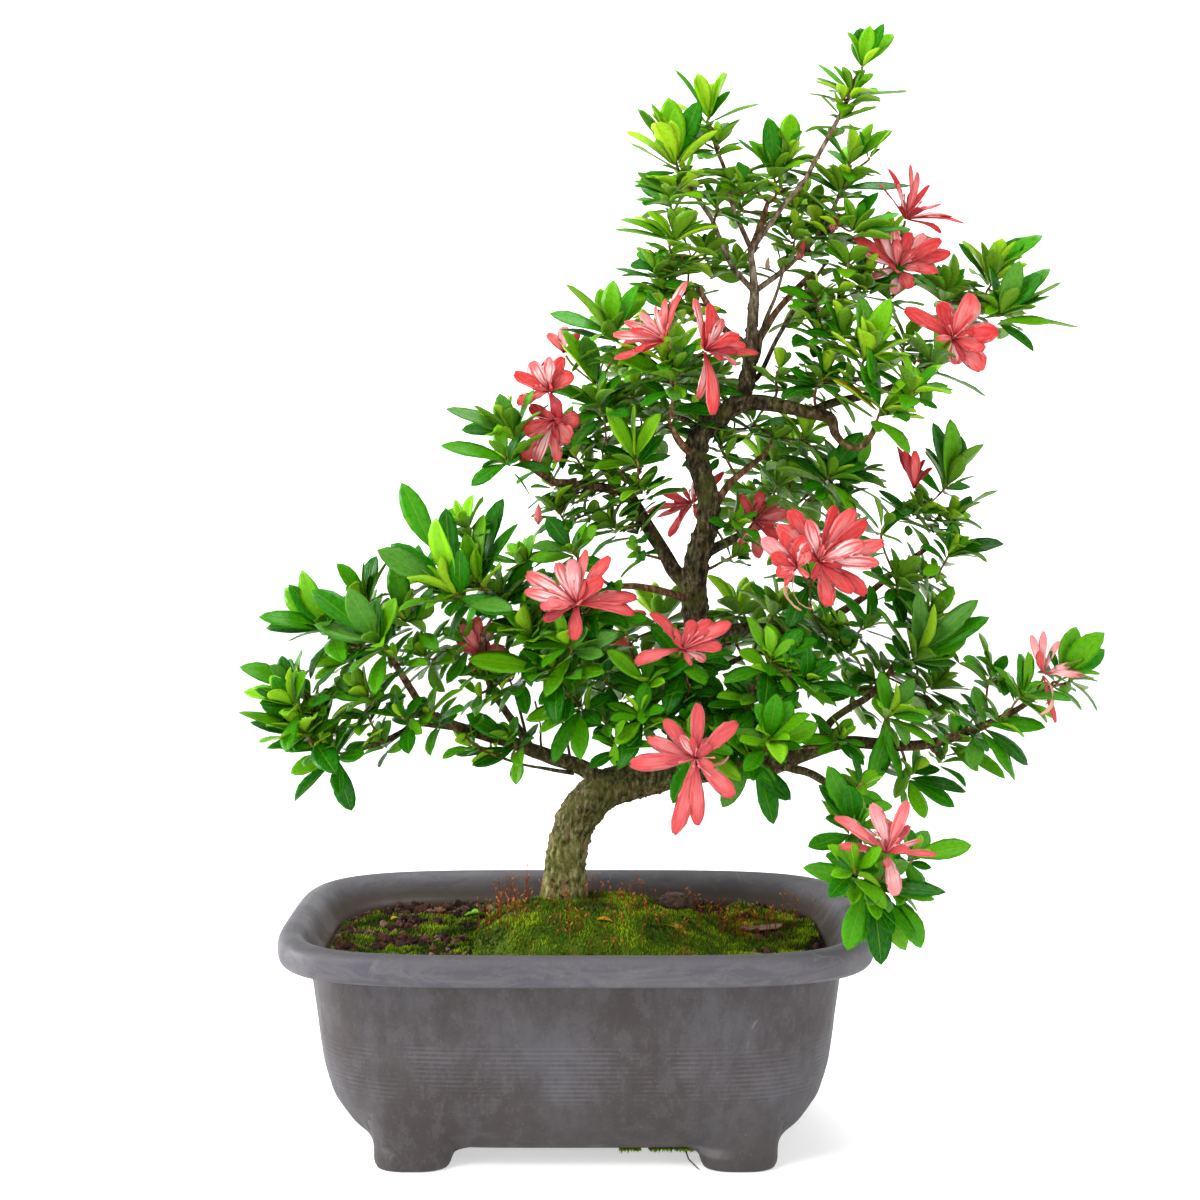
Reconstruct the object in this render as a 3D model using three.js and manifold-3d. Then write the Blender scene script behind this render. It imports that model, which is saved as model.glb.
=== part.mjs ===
// Satsuki azalea bonsai in its tray pot.
// Millimetres, +Z up. The front of the tree faces -Y, and +X is to the right of the front.

import * as THREE from "three";
import Module from "manifold-3d";
import { mergeVertices } from "three/addons/utils/BufferGeometryUtils.js";

// ---------------------------------------------------------------------------
// Driving dimensions
// ---------------------------------------------------------------------------

const GAP = 0.3; // clearance between pieces that touch

// Pot. Each outline is a rounded rectangle given by its half length along X.
const RIM_TOP = 114;
const POT_SIDES = 32;
const POT_CORNER_POWER = 4.25; // 2 would be an ellipse, more is squarer
const POT_DEPTH_LESS = 40; // half length minus half depth, the same at every height
const POT_FLOOR_HALF = 90; // half length inside which the floor is flat
const POT_UNDERSIDE = 7;
const POT_FLOOR = 12;
const POT_OUTSIDE = [
  [98, 7], [108, 9], [113, 12.8], [119, 21], [124.5, 31], [128, 42], [131, 60], [135.2, 98],
  [147.5, 99.3], [150.5, 102], [151, 107], [150.3, 111.5], [147.5, RIM_TOP],
];
const SOIL_EDGE_HALF = 129;
const POT_INSIDE = [
  [POT_FLOOR_HALF, POT_FLOOR], [104, 16.5], [112, 24], [117.5, 33], [121.5, 44], [124.5, 60],
  [SOIL_EDGE_HALF, 97], [136.5, 107], [139, 112], [142, RIM_TOP + 0.6],
];
const FOOT_PROFILE = [[17.5, 0], [20, 2.2], [21.5, 10], [21.5, 20], [15, 34]];
const FOOT_SIDES = 12;
const FOOT_PLACE = { x: 81, y: 64 };
const FOOT_DEPTH_SCALE = 0.9;
const FOOT_CORNER_POWER = 3;
const DRAIN_HOLE_RADIUS = 12;
const DRAIN_HOLE_SIDES = 20;
const DRAIN_HOLE_X = 58;
const SCREEN = { side: 38, thick: 0.8, holes: 2, hole: 13, pitch: 17 };

// Soil, moss and what lies on them.
const SOIL_TOP = 98;
const MOUND = { x: 14, y: -8, halfLength: 69, halfDepth: 66, height: 24, lean: -10, sides: 28 };
const MOUND_PROFILE = [[1, 0], [0.93, 0.22], [0.74, 0.55], [0.45, 0.85], [0.2, 0.97], [0.05, 1]];
const ROCK = { x: 52, y: 6, z: 117, size: [10, 8, 6.5], lumps: 0.12, dents: 0.08 };
const CHIP = { x: 98, y: 16, size: [24, 10, 3], turn: 0.35 };

// The tree is drawn as a front elevation in perspective. A spot is [x, z, y]: x and z are read
// on the plane y = 0 from the eye point, and y is how far behind that plane the spot lies.
const EYE = { x: 12, z: 350, distance: 1090 };

// Wood. A limb is a list of spots, each with the wood's thickness there.
const TRUNK = [
  [-6, 70, 0, 32], [-6.5, 98, 0, 30], [-7, 116, 0, 26], [-7, 132, 0, 22.5], [-4.5, 150, 0, 21.5],
  [2, 165, 0, 23.5], [14, 176.5, 0, 23.5], [30.5, 182, 0, 22.5], [46, 186, 0, 19.5], [58, 197, 0, 16.5],
  [64, 213, 2, 15], [65.5, 234, 4, 14.5], [63, 257, 4, 14], [61, 277, 3, 14], [62.5, 298, 0, 13.5],
  [68, 318, -2, 13], [67, 334, -2, 12.5], [61.5, 351, 0, 12], [65, 364, 2, 12], [77, 374, 4, 12],
  [87, 386, 5, 11], [89.5, 404, 5, 10], [90.5, 418, 4, 9],
];
const LEFT_LOW = [
  [13, 178, 0, 10], [6, 187, -3, 9.5], [-4, 191.5, -6, 8.5], [-12, 194, -8, 8], [-24, 198.5, -11, 7.5],
  [-36, 203, -15, 7], [-49, 206.5, -21, 6.5], [-61, 210, -28, 6], [-72, 214.5, -34, 5],
  [-80, 220.5, -40, 4.5], [-86, 229, -46, 4], [-92, 239, -53, 3.5], [-99, 250, -58, 3],
];
const LEFT_LOW_OUTER = [
  [-61, 210, -28, 4], [-73, 211.5, -34, 3.8], [-84, 212, -40, 3.5], [-92, 207.5, -46, 3.2],
  [-101, 203, -52, 3], [-113, 199, -56, 2.8], [-123, 196, -60, 2.6],
];
const LEFT_LOW_RISE = [
  [-24, 198.5, -11, 5], [-31, 210, -8, 4.6], [-38, 220, -12, 4.2], [-45, 231, -20, 3.8],
  [-48, 245, -30, 3.4], [-49, 259, -40, 3],
];
const LEFT_UPPER = [
  [61, 280, 3, 9], [56, 286, 5, 9], [50, 293, 8, 8.5], [45, 302, 10, 8], [38, 313, 12, 7.5],
  [31, 325, 13, 7], [26, 332, 13, 6.5], [18, 334.5, 11, 5.5], [8, 336, 8, 5], [-3, 337.5, 4, 4.5],
  [-12, 338.5, -2, 4], [-20, 343, -10, 3.5], [-28, 349, -18, 3],
];
const RIGHT_LOW = [
  [46, 187, 0, 14], [58, 187, -6, 14], [74, 188, -10, 13], [90, 189, -13, 12], [104, 191, -16, 10.5],
  [117, 196, -18, 9], [130, 200.5, -20, 8], [143, 202.5, -22, 7], [156, 201.5, -25, 6.5],
  [170, 200.5, -29, 6], [184, 201.5, -33, 5.5], [196, 205, -36, 5], [206, 208.5, -38, 4.5],
  [216, 212.5, -40, 4], [227, 218, -42, 3.5], [238, 225, -44, 3], [247, 231, -45, 2.6],
];
const RIGHT_LOW_RISE = [
  [130, 200.5, -20, 4.6], [131, 211, -14, 4.4], [141, 219.5, -8, 4], [153, 227, -2, 3.6],
  [161, 236, 2, 3.3], [167, 246, 4, 3],
];
const RIGHT_HANGING = [
  [104, 191, -16, 5], [113, 188.5, -24, 4.8], [122, 186, -36, 4.4], [130, 181, -50, 4],
  [138, 174, -66, 3.6], [144, 163, -82, 3.3], [148, 149, -97, 3], [151, 137, -107, 2.8],
];
const RIGHT_MID = [
  [63, 257, 4, 7], [72, 259, 14, 7], [85, 262, 26, 6.5], [98, 262, 34, 6], [112, 261, 38, 5.5],
  [125, 264.5, 38, 5], [138, 271, 34, 4.5], [150, 279, 30, 4], [161, 288, 26, 3.5],
  [172, 297, 23, 3.2], [182, 304, 20, 3],
];
const RIGHT_UPPER = [
  [77, 374, 4, 9], [88, 379, 0, 9], [100, 378.5, -4, 8.5], [110, 376.5, -8, 7.5], [120, 374, -12, 7],
  [131, 371, -16, 6.5], [134, 363, -20, 4.5], [139, 357.5, -24, 4], [146, 356, -27, 4],
  [151.5, 361, -30, 3.6], [155, 368, -32, 3.4],
];
const RIGHT_UPPER_BACK = [
  [120, 374, -12, 5], [132, 379, -2, 4.8], [146, 382, 8, 4.4], [160, 386, 16, 4], [173, 392, 20, 3.5],
  [184, 399, 22, 3.2],
];
const TOP = [
  [90, 408, 5, 7], [91, 426, 3.8, 7.6], [91.5, 436, 3, 7.2], [90.5, 448, 2.5, 6.5], [90, 457, 2, 6],
  [96, 466, -2, 5.5], [105.5, 479, -5, 5], [116, 491, -8, 4.5], [121.5, 501, -9, 4],
  [127.5, 512, -9, 3.6], [133.5, 523, -8, 3.2], [138.5, 533, -7, 3], [142, 543, -6, 2.6],
];
const TOP_LEFT = [
  [91.5, 436, 3, 5.6], [86, 442, 2, 5.4], [80, 449, 0, 5], [74, 462, -4, 4.4], [70.5, 471, -7, 4],
  [64, 481, -11, 3.5], [58, 489, -14, 3.1], [53, 497, -16, 2.8],
];
const TOP_MIDDLE = [
  [90, 457, 2, 4.5], [86, 466, 1, 4.2], [81, 477, -2, 3.8], [78, 488, -5, 3.4], [76, 498, -7, 3.1],
  [72, 508, -9, 3], [69, 517, -10, 2.8],
];
const TOP_RIGHT = [
  [91.5, 436, 3, 5], [97, 440, 8, 4.8], [105, 446, 12, 4.5], [114, 454, 15, 4.1], [121, 461, 17, 3.8],
  [128, 471, 18, 3.4], [133, 481, 18, 3.1], [136, 489, 18, 2.8],
];
const BACK_LOW = [
  [64, 213, 2, 7], [58, 220, 24, 6.6], [48, 229, 48, 5.6], [38, 238, 72, 4.4], [30, 246, 92, 3.4],
];
const BACK_LOW_RIGHT = [[48, 229, 48, 4.5], [62, 236, 66, 4], [78, 243, 84, 3.5], [92, 250, 98, 3]];
const BACK_MID = [
  [62.5, 298, 0, 6.5], [72, 304, 22, 6], [86, 311, 46, 5], [100, 318, 70, 4], [112, 326, 90, 3.2],
];
const WOOD_SIDES = 6;
const TRUNK_SIDES = 8;
const BRANCH_STEPS_PER_SPOT = 1;
const TRUNK_STEPS_PER_SPOT = 1.5;

// Leafy sprays. base is the spot of the wood that carries the spray, stem the spots its own wood
// runs through, and each shoot ends in a whorl: [x, z, y, leaf length, leaf lift in degrees].
// A whorl's crown and root are its heights over and under its centre, and notch is how far out the
// outline comes back between two blades.
const TWIG = { base: 2.6, tip: 2, sides: 4, knuckle: 7, bendShare: 0.35 };
const STEM = { tip: 2.6, baseExtra: 0.4, baseExtraPerSpot: 0.4, sides: 5 };
const WHORL = { leaves: 5, crown: 2.2, root: 1.5, notch: 2.6, widthShare: 0.17, liftSwing: 20 };
const WIDEST_SHARE = 0.52; // where along a blade it is widest
const SHORT_BLADE_SHARE = 0.86; // every other blade of a ring is this much shorter
const SPRAYS = [
  { name: "spray_far_left", on: "branch_left_low", base: [-123, 196, -60],
    shoots: [[-131, 199, -68, 34, 0], [-144, 214, -74, 33, 35], [-109, 229, -62, 26, 20]] },
  { name: "spray_left", on: "branch_left_low", base: [-99, 250, -58],
    shoots: [[-108, 260, -66, 34, 20], [-130, 265, -52, 32, 25], [-90, 270, -46, 28, 30]] },
  { name: "spray_left_inner", on: "branch_left_low", base: [-72, 214.5, -34],
    stem: [[-73, 217, -44]],
    shoots: [[-92, 219, -66, 25, 0], [-64, 242, -26, 28, 15], [-79, 247, -30, 27, 25]] },
  { name: "spray_left_rise", on: "branch_left_low", base: [-49, 259, -40],
    shoots: [[-60, 281, -64, 38, 45], [-45, 289, -44, 36, 45], [-78, 286, -40, 32, 20],
      [-27, 288, -18, 28, 20]] },
  { name: "spray_bend", on: "trunk", base: [30, 183.5, 0],
    stem: [[27, 198, -12]],
    shoots: [[0, 226, -44, 30, -5], [-4, 255, -52, 30, 15], [33, 219, -50, 31, 0], [37, 236, -36, 30, 45]] },
  { name: "spray_centre_front", on: "trunk", base: [65.5, 234, 4],
    stem: [[66, 232, -16]],
    shoots: [[62, 200, -60, 27, -10], [56, 246, -46, 26, 20]] },
  { name: "spray_left_mid", on: "trunk", base: [61, 277, 3],
    stem: [[53, 279, -4], [42, 282, -14], [30, 284, -24], [18, 284, -34]],
    shoots: [[2, 276, -50, 24, 0], [-5, 305, -40, 26, 15], [-22, 268, -34, 28, 10]] },
  { name: "spray_left_upper", on: "branch_left_upper", base: [-28, 349, -18],
    shoots: [[-37, 354, -28, 33, 5], [-34, 370, -12, 25, 40], [-9, 363, 8, 29, 10]] },
  { name: "spray_left_centre", on: "branch_left_upper", base: [26, 332, 13],
    shoots: [[31, 353, -14, 28, 45], [14, 379, -6, 30, 10], [3, 366, 26, 26, 10]] },
  { name: "spray_left_high", on: "trunk", base: [61.5, 351, 0],
    stem: [[54, 358, -8], [48, 368, -16]],
    shoots: [[51, 394, -34, 33, 5], [31, 384, 14, 27, 10], [17, 414, -20, 30, 20]] },
  { name: "spray_top_left_low", on: "trunk", base: [89.5, 404, 5],
    stem: [[84, 411, 1], [76, 417, -4], [69, 427, -8], [62, 439, -12]],
    shoots: [[49, 467, -20, 29, 35], [40, 448, -8, 28, 15], [66, 456, 4, 24, 15]] },
  { name: "spray_top_left", on: "branch_top", base: [53, 497, -16],
    shoots: [[50, 506, -18, 33, 40], [42, 490, -32, 24, 10], [66, 494, 2, 24, 10]] },
  { name: "spray_top_middle", on: "branch_top", base: [69, 517, -10],
    shoots: [[68, 526, -12, 28, 45], [80, 512, -22, 22, 10]] },
  { name: "spray_top_centre", on: "branch_top", base: [90, 457, 2],
    stem: [[94, 468, 8], [98, 481, 11]],
    shoots: [[101, 501, 14, 29, 15], [113, 480, 24, 25, 15], [84, 484, 24, 24, 10]] },
  { name: "spray_tip", on: "branch_top", base: [142, 543, -6],
    shoots: [[146, 552, -6, 22, 50], [135, 540, -16, 22, 10], [150, 537, 4, 24, 10]] },
  { name: "spray_top_right", on: "branch_top", base: [136, 489, 18],
    stem: [[137.5, 495, 18]],
    shoots: [[138, 503, 18, 32, 30], [146, 474, 2, 31, 0], [120, 480, 36, 25, 10]] },
  { name: "spray_right_high", on: "trunk", base: [89.5, 404, 5],
    stem: [[95, 414, 11], [103, 426, 15], [113, 437, 19], [122, 446, 22]],
    shoots: [[148, 441, 12, 28, 10], [160, 464, 28, 29, 10], [124, 430, 36, 25, 5]] },
  { name: "spray_right_top", on: "branch_right_upper", base: [184, 399, 22],
    shoots: [[217, 425, 24, 32, 20], [214, 446, 36, 28, 35], [190, 434, 34, 28, 15],
      [184, 402, -4, 28, 30]] },
  { name: "spray_loop", on: "branch_right_upper", base: [155, 368, -32],
    shoots: [[158, 379, -34, 33, 45], [150, 404, -30, 30, 45], [172, 380, -46, 26, 10]] },
  { name: "spray_right_mid", on: "branch_right_mid", base: [182, 304, 20],
    shoots: [[193, 338, 16, 30, 30], [176, 322, 12, 26, 20], [192, 300, 4, 28, 0]] },
  { name: "spray_right_shade", on: "branch_right_mid", base: [138, 271, 34],
    shoots: [[150, 262, 4, 27, 5], [166, 288, 2, 28, 5], [125, 290, -34, 26, 0]] },
  { name: "spray_right_inner", on: "trunk", base: [68, 318, -2],
    stem: [[73, 328, -2], [79, 337, 0], [88, 345, 4], [98, 353, 8]],
    shoots: [[118, 366, 14, 26, 15], [131, 344, -8, 31, 0], [104, 340, 36, 24, 0]] },
  { name: "spray_right", on: "branch_right_low", base: [167, 246, 4],
    shoots: [[177, 247, -12, 35, 15], [183, 268, 2, 30, 25], [163, 220, -30, 28, 0], [188, 232, 24, 28, 0]] },
  { name: "spray_right_end", on: "branch_right_low", base: [247, 231, -45],
    shoots: [[253, 238, -48, 26, 30], [233, 230, -60, 22, 10], [262, 240, -22, 22, 15]] },
  { name: "spray_hanging", on: "branch_right_low", base: [151, 137, -107],
    shoots: [[153, 129, -116, 39, -15], [176, 143, -100, 26, 5], [144, 146, -122, 24, 40]] },
  { name: "spray_front", on: "trunk", base: [64, 222, 3],
    stem: [[74, 224, -14], [86, 228, -34], [94, 232, -48]],
    shoots: [[101, 249, -62, 27, 15], [122, 234, -68, 26, 5], [103, 208, -72, 29, 30]] },
  { name: "spray_back_low", on: "branch_back_low", base: [30, 246, 92],
    shoots: [[16, 253, 104, 31, 15], [42, 266, 104, 29, 25], [8, 236, 84, 28, 5]] },
  { name: "spray_back_low_right", on: "branch_back_low", base: [92, 250, 98],
    shoots: [[106, 258, 108, 30, 15], [84, 272, 108, 28, 25], [114, 240, 88, 28, 0]] },
  { name: "spray_back_mid", on: "branch_back_mid", base: [112, 326, 90],
    shoots: [[124, 336, 98, 30, 20], [98, 346, 96, 28, 20], [132, 318, 78, 28, 5]] },
  { name: "spray_back_high", on: "trunk", base: [65, 364, 2],
    stem: [[58, 369, 22], [46, 376, 44]],
    shoots: [[28, 392, 70, 29, 20], [52, 398, 74, 28, 25], [14, 376, 58, 28, 5]] },
];

// Flowers. spot is the throat, face the way it opens, [right, up, back], and on the wood or the
// spray that it grows from, at the shoot with that number or at a spot of the wood.
const PETAL = { count: 6, crown: 1.8, root: 1.8, notch: 2.4, widthShare: 0.15, lift: 22 };
const STALK = { base: 2, tip: 2.6, sides: 5, bendShare: 0.4 };
const PETAL_LIFT_SWING = 6;
const FLOWERS = [
  { name: "flower_low", on: "spray_centre_front", shoot: 0,
    blooms: [{ spot: [61, 193, -78], face: [0, 0.1, -1], petal: 31 }] },
  { name: "flower_centre", on: "spray_centre_front", shoot: 1,
    blooms: [{ spot: [57, 253, -60], face: [0.35, 0.8, -0.5], petal: 26 }] },
  { name: "flower_left", on: "spray_left_mid", shoot: 0,
    blooms: [{ spot: [-1, 280, -62], face: [-0.3, 0.5, -0.9], petal: 27 }] },
  { name: "flower_left_upper", on: "spray_left_upper", shoot: 2,
    blooms: [{ spot: [-13, 376, -8], face: [-0.8, 0.1, -0.6], petal: 25 }] },
  { name: "flower_pair_high", on: "spray_left_high", shoot: 0,
    blooms: [{ spot: [46, 412, -42], face: [-0.7, 0.5, -0.5], petal: 25 },
      { spot: [66, 408, -42], face: [0.6, 0.4, -0.6], petal: 28 }] },
  { name: "flower_right_mid", on: "spray_right_shade", shoot: 2,
    blooms: [{ spot: [127, 298, -52], face: [0.2, 0.2, -1], petal: 30 }] },
  { name: "flower_pair_behind", on: "branch_back_mid", from: [72, 304, 22],
    blooms: [{ spot: [63, 326, 30], face: [-0.7, 0.3, -0.4], petal: 22 },
      { spot: [92, 322, 26], face: [0.6, 0.1, -0.8], petal: 23 }] },
  { name: "flower_closed", on: "spray_right_mid", shoot: 1,
    blooms: [{ spot: [176, 333, 8], face: [-0.1, 1, -0.1], petal: 21, lift: 70 }] },
  { name: "flower_pair_top_right", on: "spray_right_high", shoot: 1,
    blooms: [{ spot: [169, 474, 22], face: [0.4, 0.7, -0.5], petal: 24 },
      { spot: [165, 451, 12], face: [0.1, -0.1, -1], petal: 24 }] },
  { name: "flower_right_upper", on: "spray_right_top", shoot: 3,
    blooms: [{ spot: [195, 410, -16], face: [0.3, 0.1, -1], petal: 25 }] },
  { name: "flower_hanging", on: "spray_hanging", shoot: 0,
    blooms: [{ spot: [163, 144, -124], face: [0.2, 0.6, -0.7], petal: 26 }] },
  { name: "flower_faded_end", on: "spray_right_end", shoot: 0,
    blooms: [{ spot: [246, 241, -56], face: [-0.4, 0.6, -0.4], petal: 18, lift: 60 }] },
  { name: "flower_back_low", on: "spray_back_low", shoot: 0,
    blooms: [{ spot: [12, 262, 116], face: [-0.2, 0.3, 1], petal: 26 }] },
];

// ---------------------------------------------------------------------------
// Materials
// ---------------------------------------------------------------------------

function finish(color, roughness) {
  return new THREE.MeshStandardMaterial({ color, roughness, metalness: 0 });
}

const MATERIALS = {
  pot: finish(0x5c5a60, 0.75),
  screen: finish(0x1c1c1c, 0.6),
  soil: finish(0x4a2c20, 0.95),
  moss: finish(0x4f6b1e, 0.95),
  rock: finish(0x6d6258, 0.85),
  chip: finish(0x9a7650, 0.8),
  bark: finish(0x5a5040, 0.9),
  leaf: finish(0x2f6b1c, 0.45),
  petal: finish(0xe8696a, 0.55),
};

// ---------------------------------------------------------------------------
// Solids
// ---------------------------------------------------------------------------

const wasm = await Module();
wasm.setup();

function toSolid(source) {
  const geometry = source.index ? source.clone() : source;
  geometry.deleteAttribute("normal");
  geometry.deleteAttribute("uv");
  const merged = mergeVertices(geometry, 1e-4);
  const mesh = new wasm.Mesh({
    numProp: 3,
    vertProperties: new Float32Array(merged.attributes.position.array),
    triVerts: new Uint32Array(merged.index.array),
  });
  return new wasm.Manifold(mesh);
}

function toGeometry(solid) {
  const mesh = solid.getMesh();
  const geometry = new THREE.BufferGeometry();
  geometry.setAttribute("position", new THREE.BufferAttribute(mesh.vertProperties, 3));
  geometry.setIndex(new THREE.BufferAttribute(mesh.triVerts, 1));
  geometry.computeVertexNormals();
  return geometry;
}

function joined(solids) {
  return solids.reduce((sum, solid) => sum.add(solid));
}

// A cut can leave slivers beside the body that is meant.
function largest(solid) {
  return solid.decompose().reduce((a, b) => (a.volume() > b.volume() ? a : b));
}

function boxSolid(sizeX, sizeY, sizeZ, x, y, z) {
  return toSolid(new THREE.BoxGeometry(sizeX, sizeY, sizeZ).translate(x, y, z));
}

function discSolid(radius, height, sides, x, y, z) {
  const disc = new THREE.CylinderGeometry(radius, radius, height, sides).rotateX(Math.PI / 2);
  return toSolid(disc.translate(x, y, z));
}

// A round lathe body about Z, from its underside's centre over its outside to its top's centre.
function turned(profile, sides) {
  const outline = profile.map(([radius, height]) => new THREE.Vector2(radius, height));
  outline.unshift(new THREE.Vector2(0, profile[0][1]));
  outline.push(new THREE.Vector2(0, profile[profile.length - 1][1]));
  return new THREE.LatheGeometry(outline, sides).rotateX(Math.PI / 2);
}

function cornered(value, power) {
  return Math.sign(value) * Math.abs(value) ** (2 / power);
}

// Turns every ring of a lathe body from a circle into a rounded rectangle.
function squareUp(geometry, power, depthOf) {
  const spots = geometry.attributes.position;
  for (let i = 0; i < spots.count; i += 1) {
    const radius = Math.hypot(spots.getX(i), spots.getY(i));
    const angle = Math.atan2(spots.getY(i), spots.getX(i));
    spots.setX(i, radius * cornered(Math.cos(angle), power));
    spots.setY(i, depthOf(radius) * cornered(Math.sin(angle), power));
  }
  return geometry;
}

// ---------------------------------------------------------------------------
// Pot, screens, soil and moss
// ---------------------------------------------------------------------------

function potDepth(radius) {
  const floorShare = (POT_FLOOR_HALF - POT_DEPTH_LESS) / POT_FLOOR_HALF;
  return radius > POT_FLOOR_HALF ? radius - POT_DEPTH_LESS : radius * floorShare;
}

function potShape(profile) {
  return toSolid(squareUp(turned(profile, POT_SIDES), POT_CORNER_POWER, potDepth));
}

function foot(x, y) {
  const shape = turned(FOOT_PROFILE, FOOT_SIDES);
  squareUp(shape, FOOT_CORNER_POWER, (radius) => radius * FOOT_DEPTH_SCALE);
  return toSolid(shape.translate(x, y, 0));
}

function potSolid() {
  const body = potShape(POT_OUTSIDE);
  const feet = [];
  for (const side of [-1, 1]) {
    for (const end of [-1, 1]) {
      feet.push(foot(end * FOOT_PLACE.x, side * FOOT_PLACE.y));
    }
  }
  const holes = [-1, 1].map((end) =>
    discSolid(DRAIN_HOLE_RADIUS, 3 * POT_UNDERSIDE, DRAIN_HOLE_SIDES, end * DRAIN_HOLE_X, 0, POT_UNDERSIDE));
  return joined([body, ...feet]).subtract(potShape(POT_INSIDE)).subtract(joined(holes));
}

function screenSolid(end) {
  const middle = (SCREEN.holes - 1) / 2;
  const holes = [];
  for (let row = 0; row < SCREEN.holes; row += 1) {
    for (let column = 0; column < SCREEN.holes; column += 1) {
      const x = (column - middle) * SCREEN.pitch;
      const y = (row - middle) * SCREEN.pitch;
      holes.push(boxSolid(SCREEN.hole, SCREEN.hole, 3 * SCREEN.thick, x, y, 0));
    }
  }
  const plate = boxSolid(SCREEN.side, SCREEN.side, SCREEN.thick, 0, 0, 0);
  const height = POT_FLOOR + GAP + SCREEN.thick / 2;
  return plate.subtract(joined(holes)).translate([end * DRAIN_HOLE_X, 0, height]);
}

function soilSolid(trunkSleeve) {
  const profile = POT_INSIDE.filter(([, height]) => height < SOIL_TOP)
    .map(([radius, height]) => [radius - GAP, height + GAP]);
  profile.push([SOIL_EDGE_HALF - GAP, SOIL_TOP]);
  const pockets = [-1, 1].map((end) => {
    const side = SCREEN.side + 2 * GAP;
    const height = 2 * (SCREEN.thick + 2 * GAP);
    return boxSolid(side, side, height, end * DRAIN_HOLE_X, 0, POT_FLOOR);
  });
  return potShape(profile).subtract(joined(pockets)).subtract(trunkSleeve);
}

function rockSolid(swell) {
  const shape = new THREE.IcosahedronGeometry(1, 1);
  const spots = shape.attributes.position;
  for (let i = 0; i < spots.count; i += 1) {
    const x = spots.getX(i);
    const y = spots.getY(i);
    const z = spots.getZ(i);
    const lump = ROCK.lumps * Math.sin(3 * x + 1) * Math.cos(4 * y);
    const swollen = 1 + lump + ROCK.dents * Math.sin(5 * z);
    spots.setXYZ(i, x * swollen, y * swollen, z * swollen);
  }
  shape.scale(...ROCK.size.map((half) => half + swell));
  return toSolid(shape.translate(ROCK.x, ROCK.y, ROCK.z));
}

function moundSolid(trunkSleeve) {
  const shape = turned(MOUND_PROFILE, MOUND.sides);
  const spots = shape.attributes.position;
  for (let i = 0; i < spots.count; i += 1) {
    spots.setX(i, spots.getX(i) * MOUND.halfLength + spots.getZ(i) * MOUND.lean);
    spots.setY(i, spots.getY(i) * MOUND.halfDepth);
    spots.setZ(i, spots.getZ(i) * MOUND.height);
  }
  const dome = toSolid(shape.translate(MOUND.x, MOUND.y, SOIL_TOP + GAP));
  return dome.subtract(trunkSleeve).subtract(rockSolid(GAP));
}

function chipSolid() {
  const [length, width, thick] = CHIP.size;
  const outline = new THREE.Shape();
  outline.moveTo(-0.5 * length, -0.2 * width);
  outline.lineTo(-0.1 * length, -0.5 * width);
  outline.lineTo(0.45 * length, -0.4 * width);
  outline.lineTo(0.5 * length, 0.15 * width);
  outline.lineTo(0.1 * length, 0.5 * width);
  outline.lineTo(-0.4 * length, 0.35 * width);
  const plate = new THREE.ExtrudeGeometry(outline, { depth: thick, bevelEnabled: false });
  return toSolid(plate.rotateZ(CHIP.turn).translate(CHIP.x, CHIP.y, SOIL_TOP + GAP));
}

// ---------------------------------------------------------------------------
// Wood
// ---------------------------------------------------------------------------

function spotAt([x, z, y]) {
  const spread = 1 + y / EYE.distance;
  return new THREE.Vector3(EYE.x + (x - EYE.x) * spread, y, EYE.z + (z - EYE.z) * spread);
}

const SEED_RADIUS = 0.1; // the tube's section before it takes its thickness

// A tube through the points that is as thick at each point as its entry in widths.
function tube(points, widths, sides, steps, swell = 0) {
  const path = new THREE.CatmullRomCurve3(points);
  const section = new THREE.Shape();
  for (let i = 0; i < sides; i += 1) {
    const angle = (2 * Math.PI * i) / sides;
    const place = [SEED_RADIUS * Math.cos(angle), SEED_RADIUS * Math.sin(angle)];
    if (i === 0) {
      section.moveTo(...place);
    } else {
      section.lineTo(...place);
    }
  }
  const shape = new THREE.ExtrudeGeometry(section, { steps, extrudePath: path });
  const stations = path.getSpacedPoints(steps);
  const radii = stations.map((_, i) => {
    const along = path.getUtoTmapping(i / steps) * (points.length - 1);
    const before = Math.min(Math.floor(along), points.length - 2);
    return swell + THREE.MathUtils.lerp(widths[before], widths[before + 1], along - before) / 2;
  });
  const spots = shape.attributes.position;
  const spot = new THREE.Vector3();
  for (let i = 0; i < spots.count; i += 1) {
    spot.fromBufferAttribute(spots, i);
    let nearest = 0;
    stations.forEach((station, k) => {
      if (station.distanceTo(spot) < stations[nearest].distanceTo(spot)) {
        nearest = k;
      }
    });
    const centre = stations[nearest];
    spot.sub(centre).multiplyScalar(radii[nearest] / SEED_RADIUS).add(centre);
    spots.setXYZ(i, spot.x, spot.y, spot.z);
  }
  return toSolid(shape);
}

const SLEEVE_SWELL = 1.2 * GAP;
const PLUG_SIDES = 12;
const PLUG_WIDENING = 1 / Math.cos(Math.PI / PLUG_SIDES); // so that its flats clear the tube's corners

// The space that a limb takes with the clearance round it, its two ends included.
function sleeve(points, widths, sides, steps) {
  const parts = [tube(points, widths, sides, steps, SLEEVE_SWELL)];
  const last = points.length - 1;
  for (const [end, next] of [[0, 1], [last, last - 1]]) {
    const out = points[end].clone().sub(points[next]).setLength(SLEEVE_SWELL);
    const plug = [points[end].clone().sub(out), points[end].clone().add(out)];
    const width = widths[end] * PLUG_WIDENING;
    parts.push(tube(plug, [width, width], PLUG_SIDES, 1, SLEEVE_SWELL));
  }
  return joined(parts);
}

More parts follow.
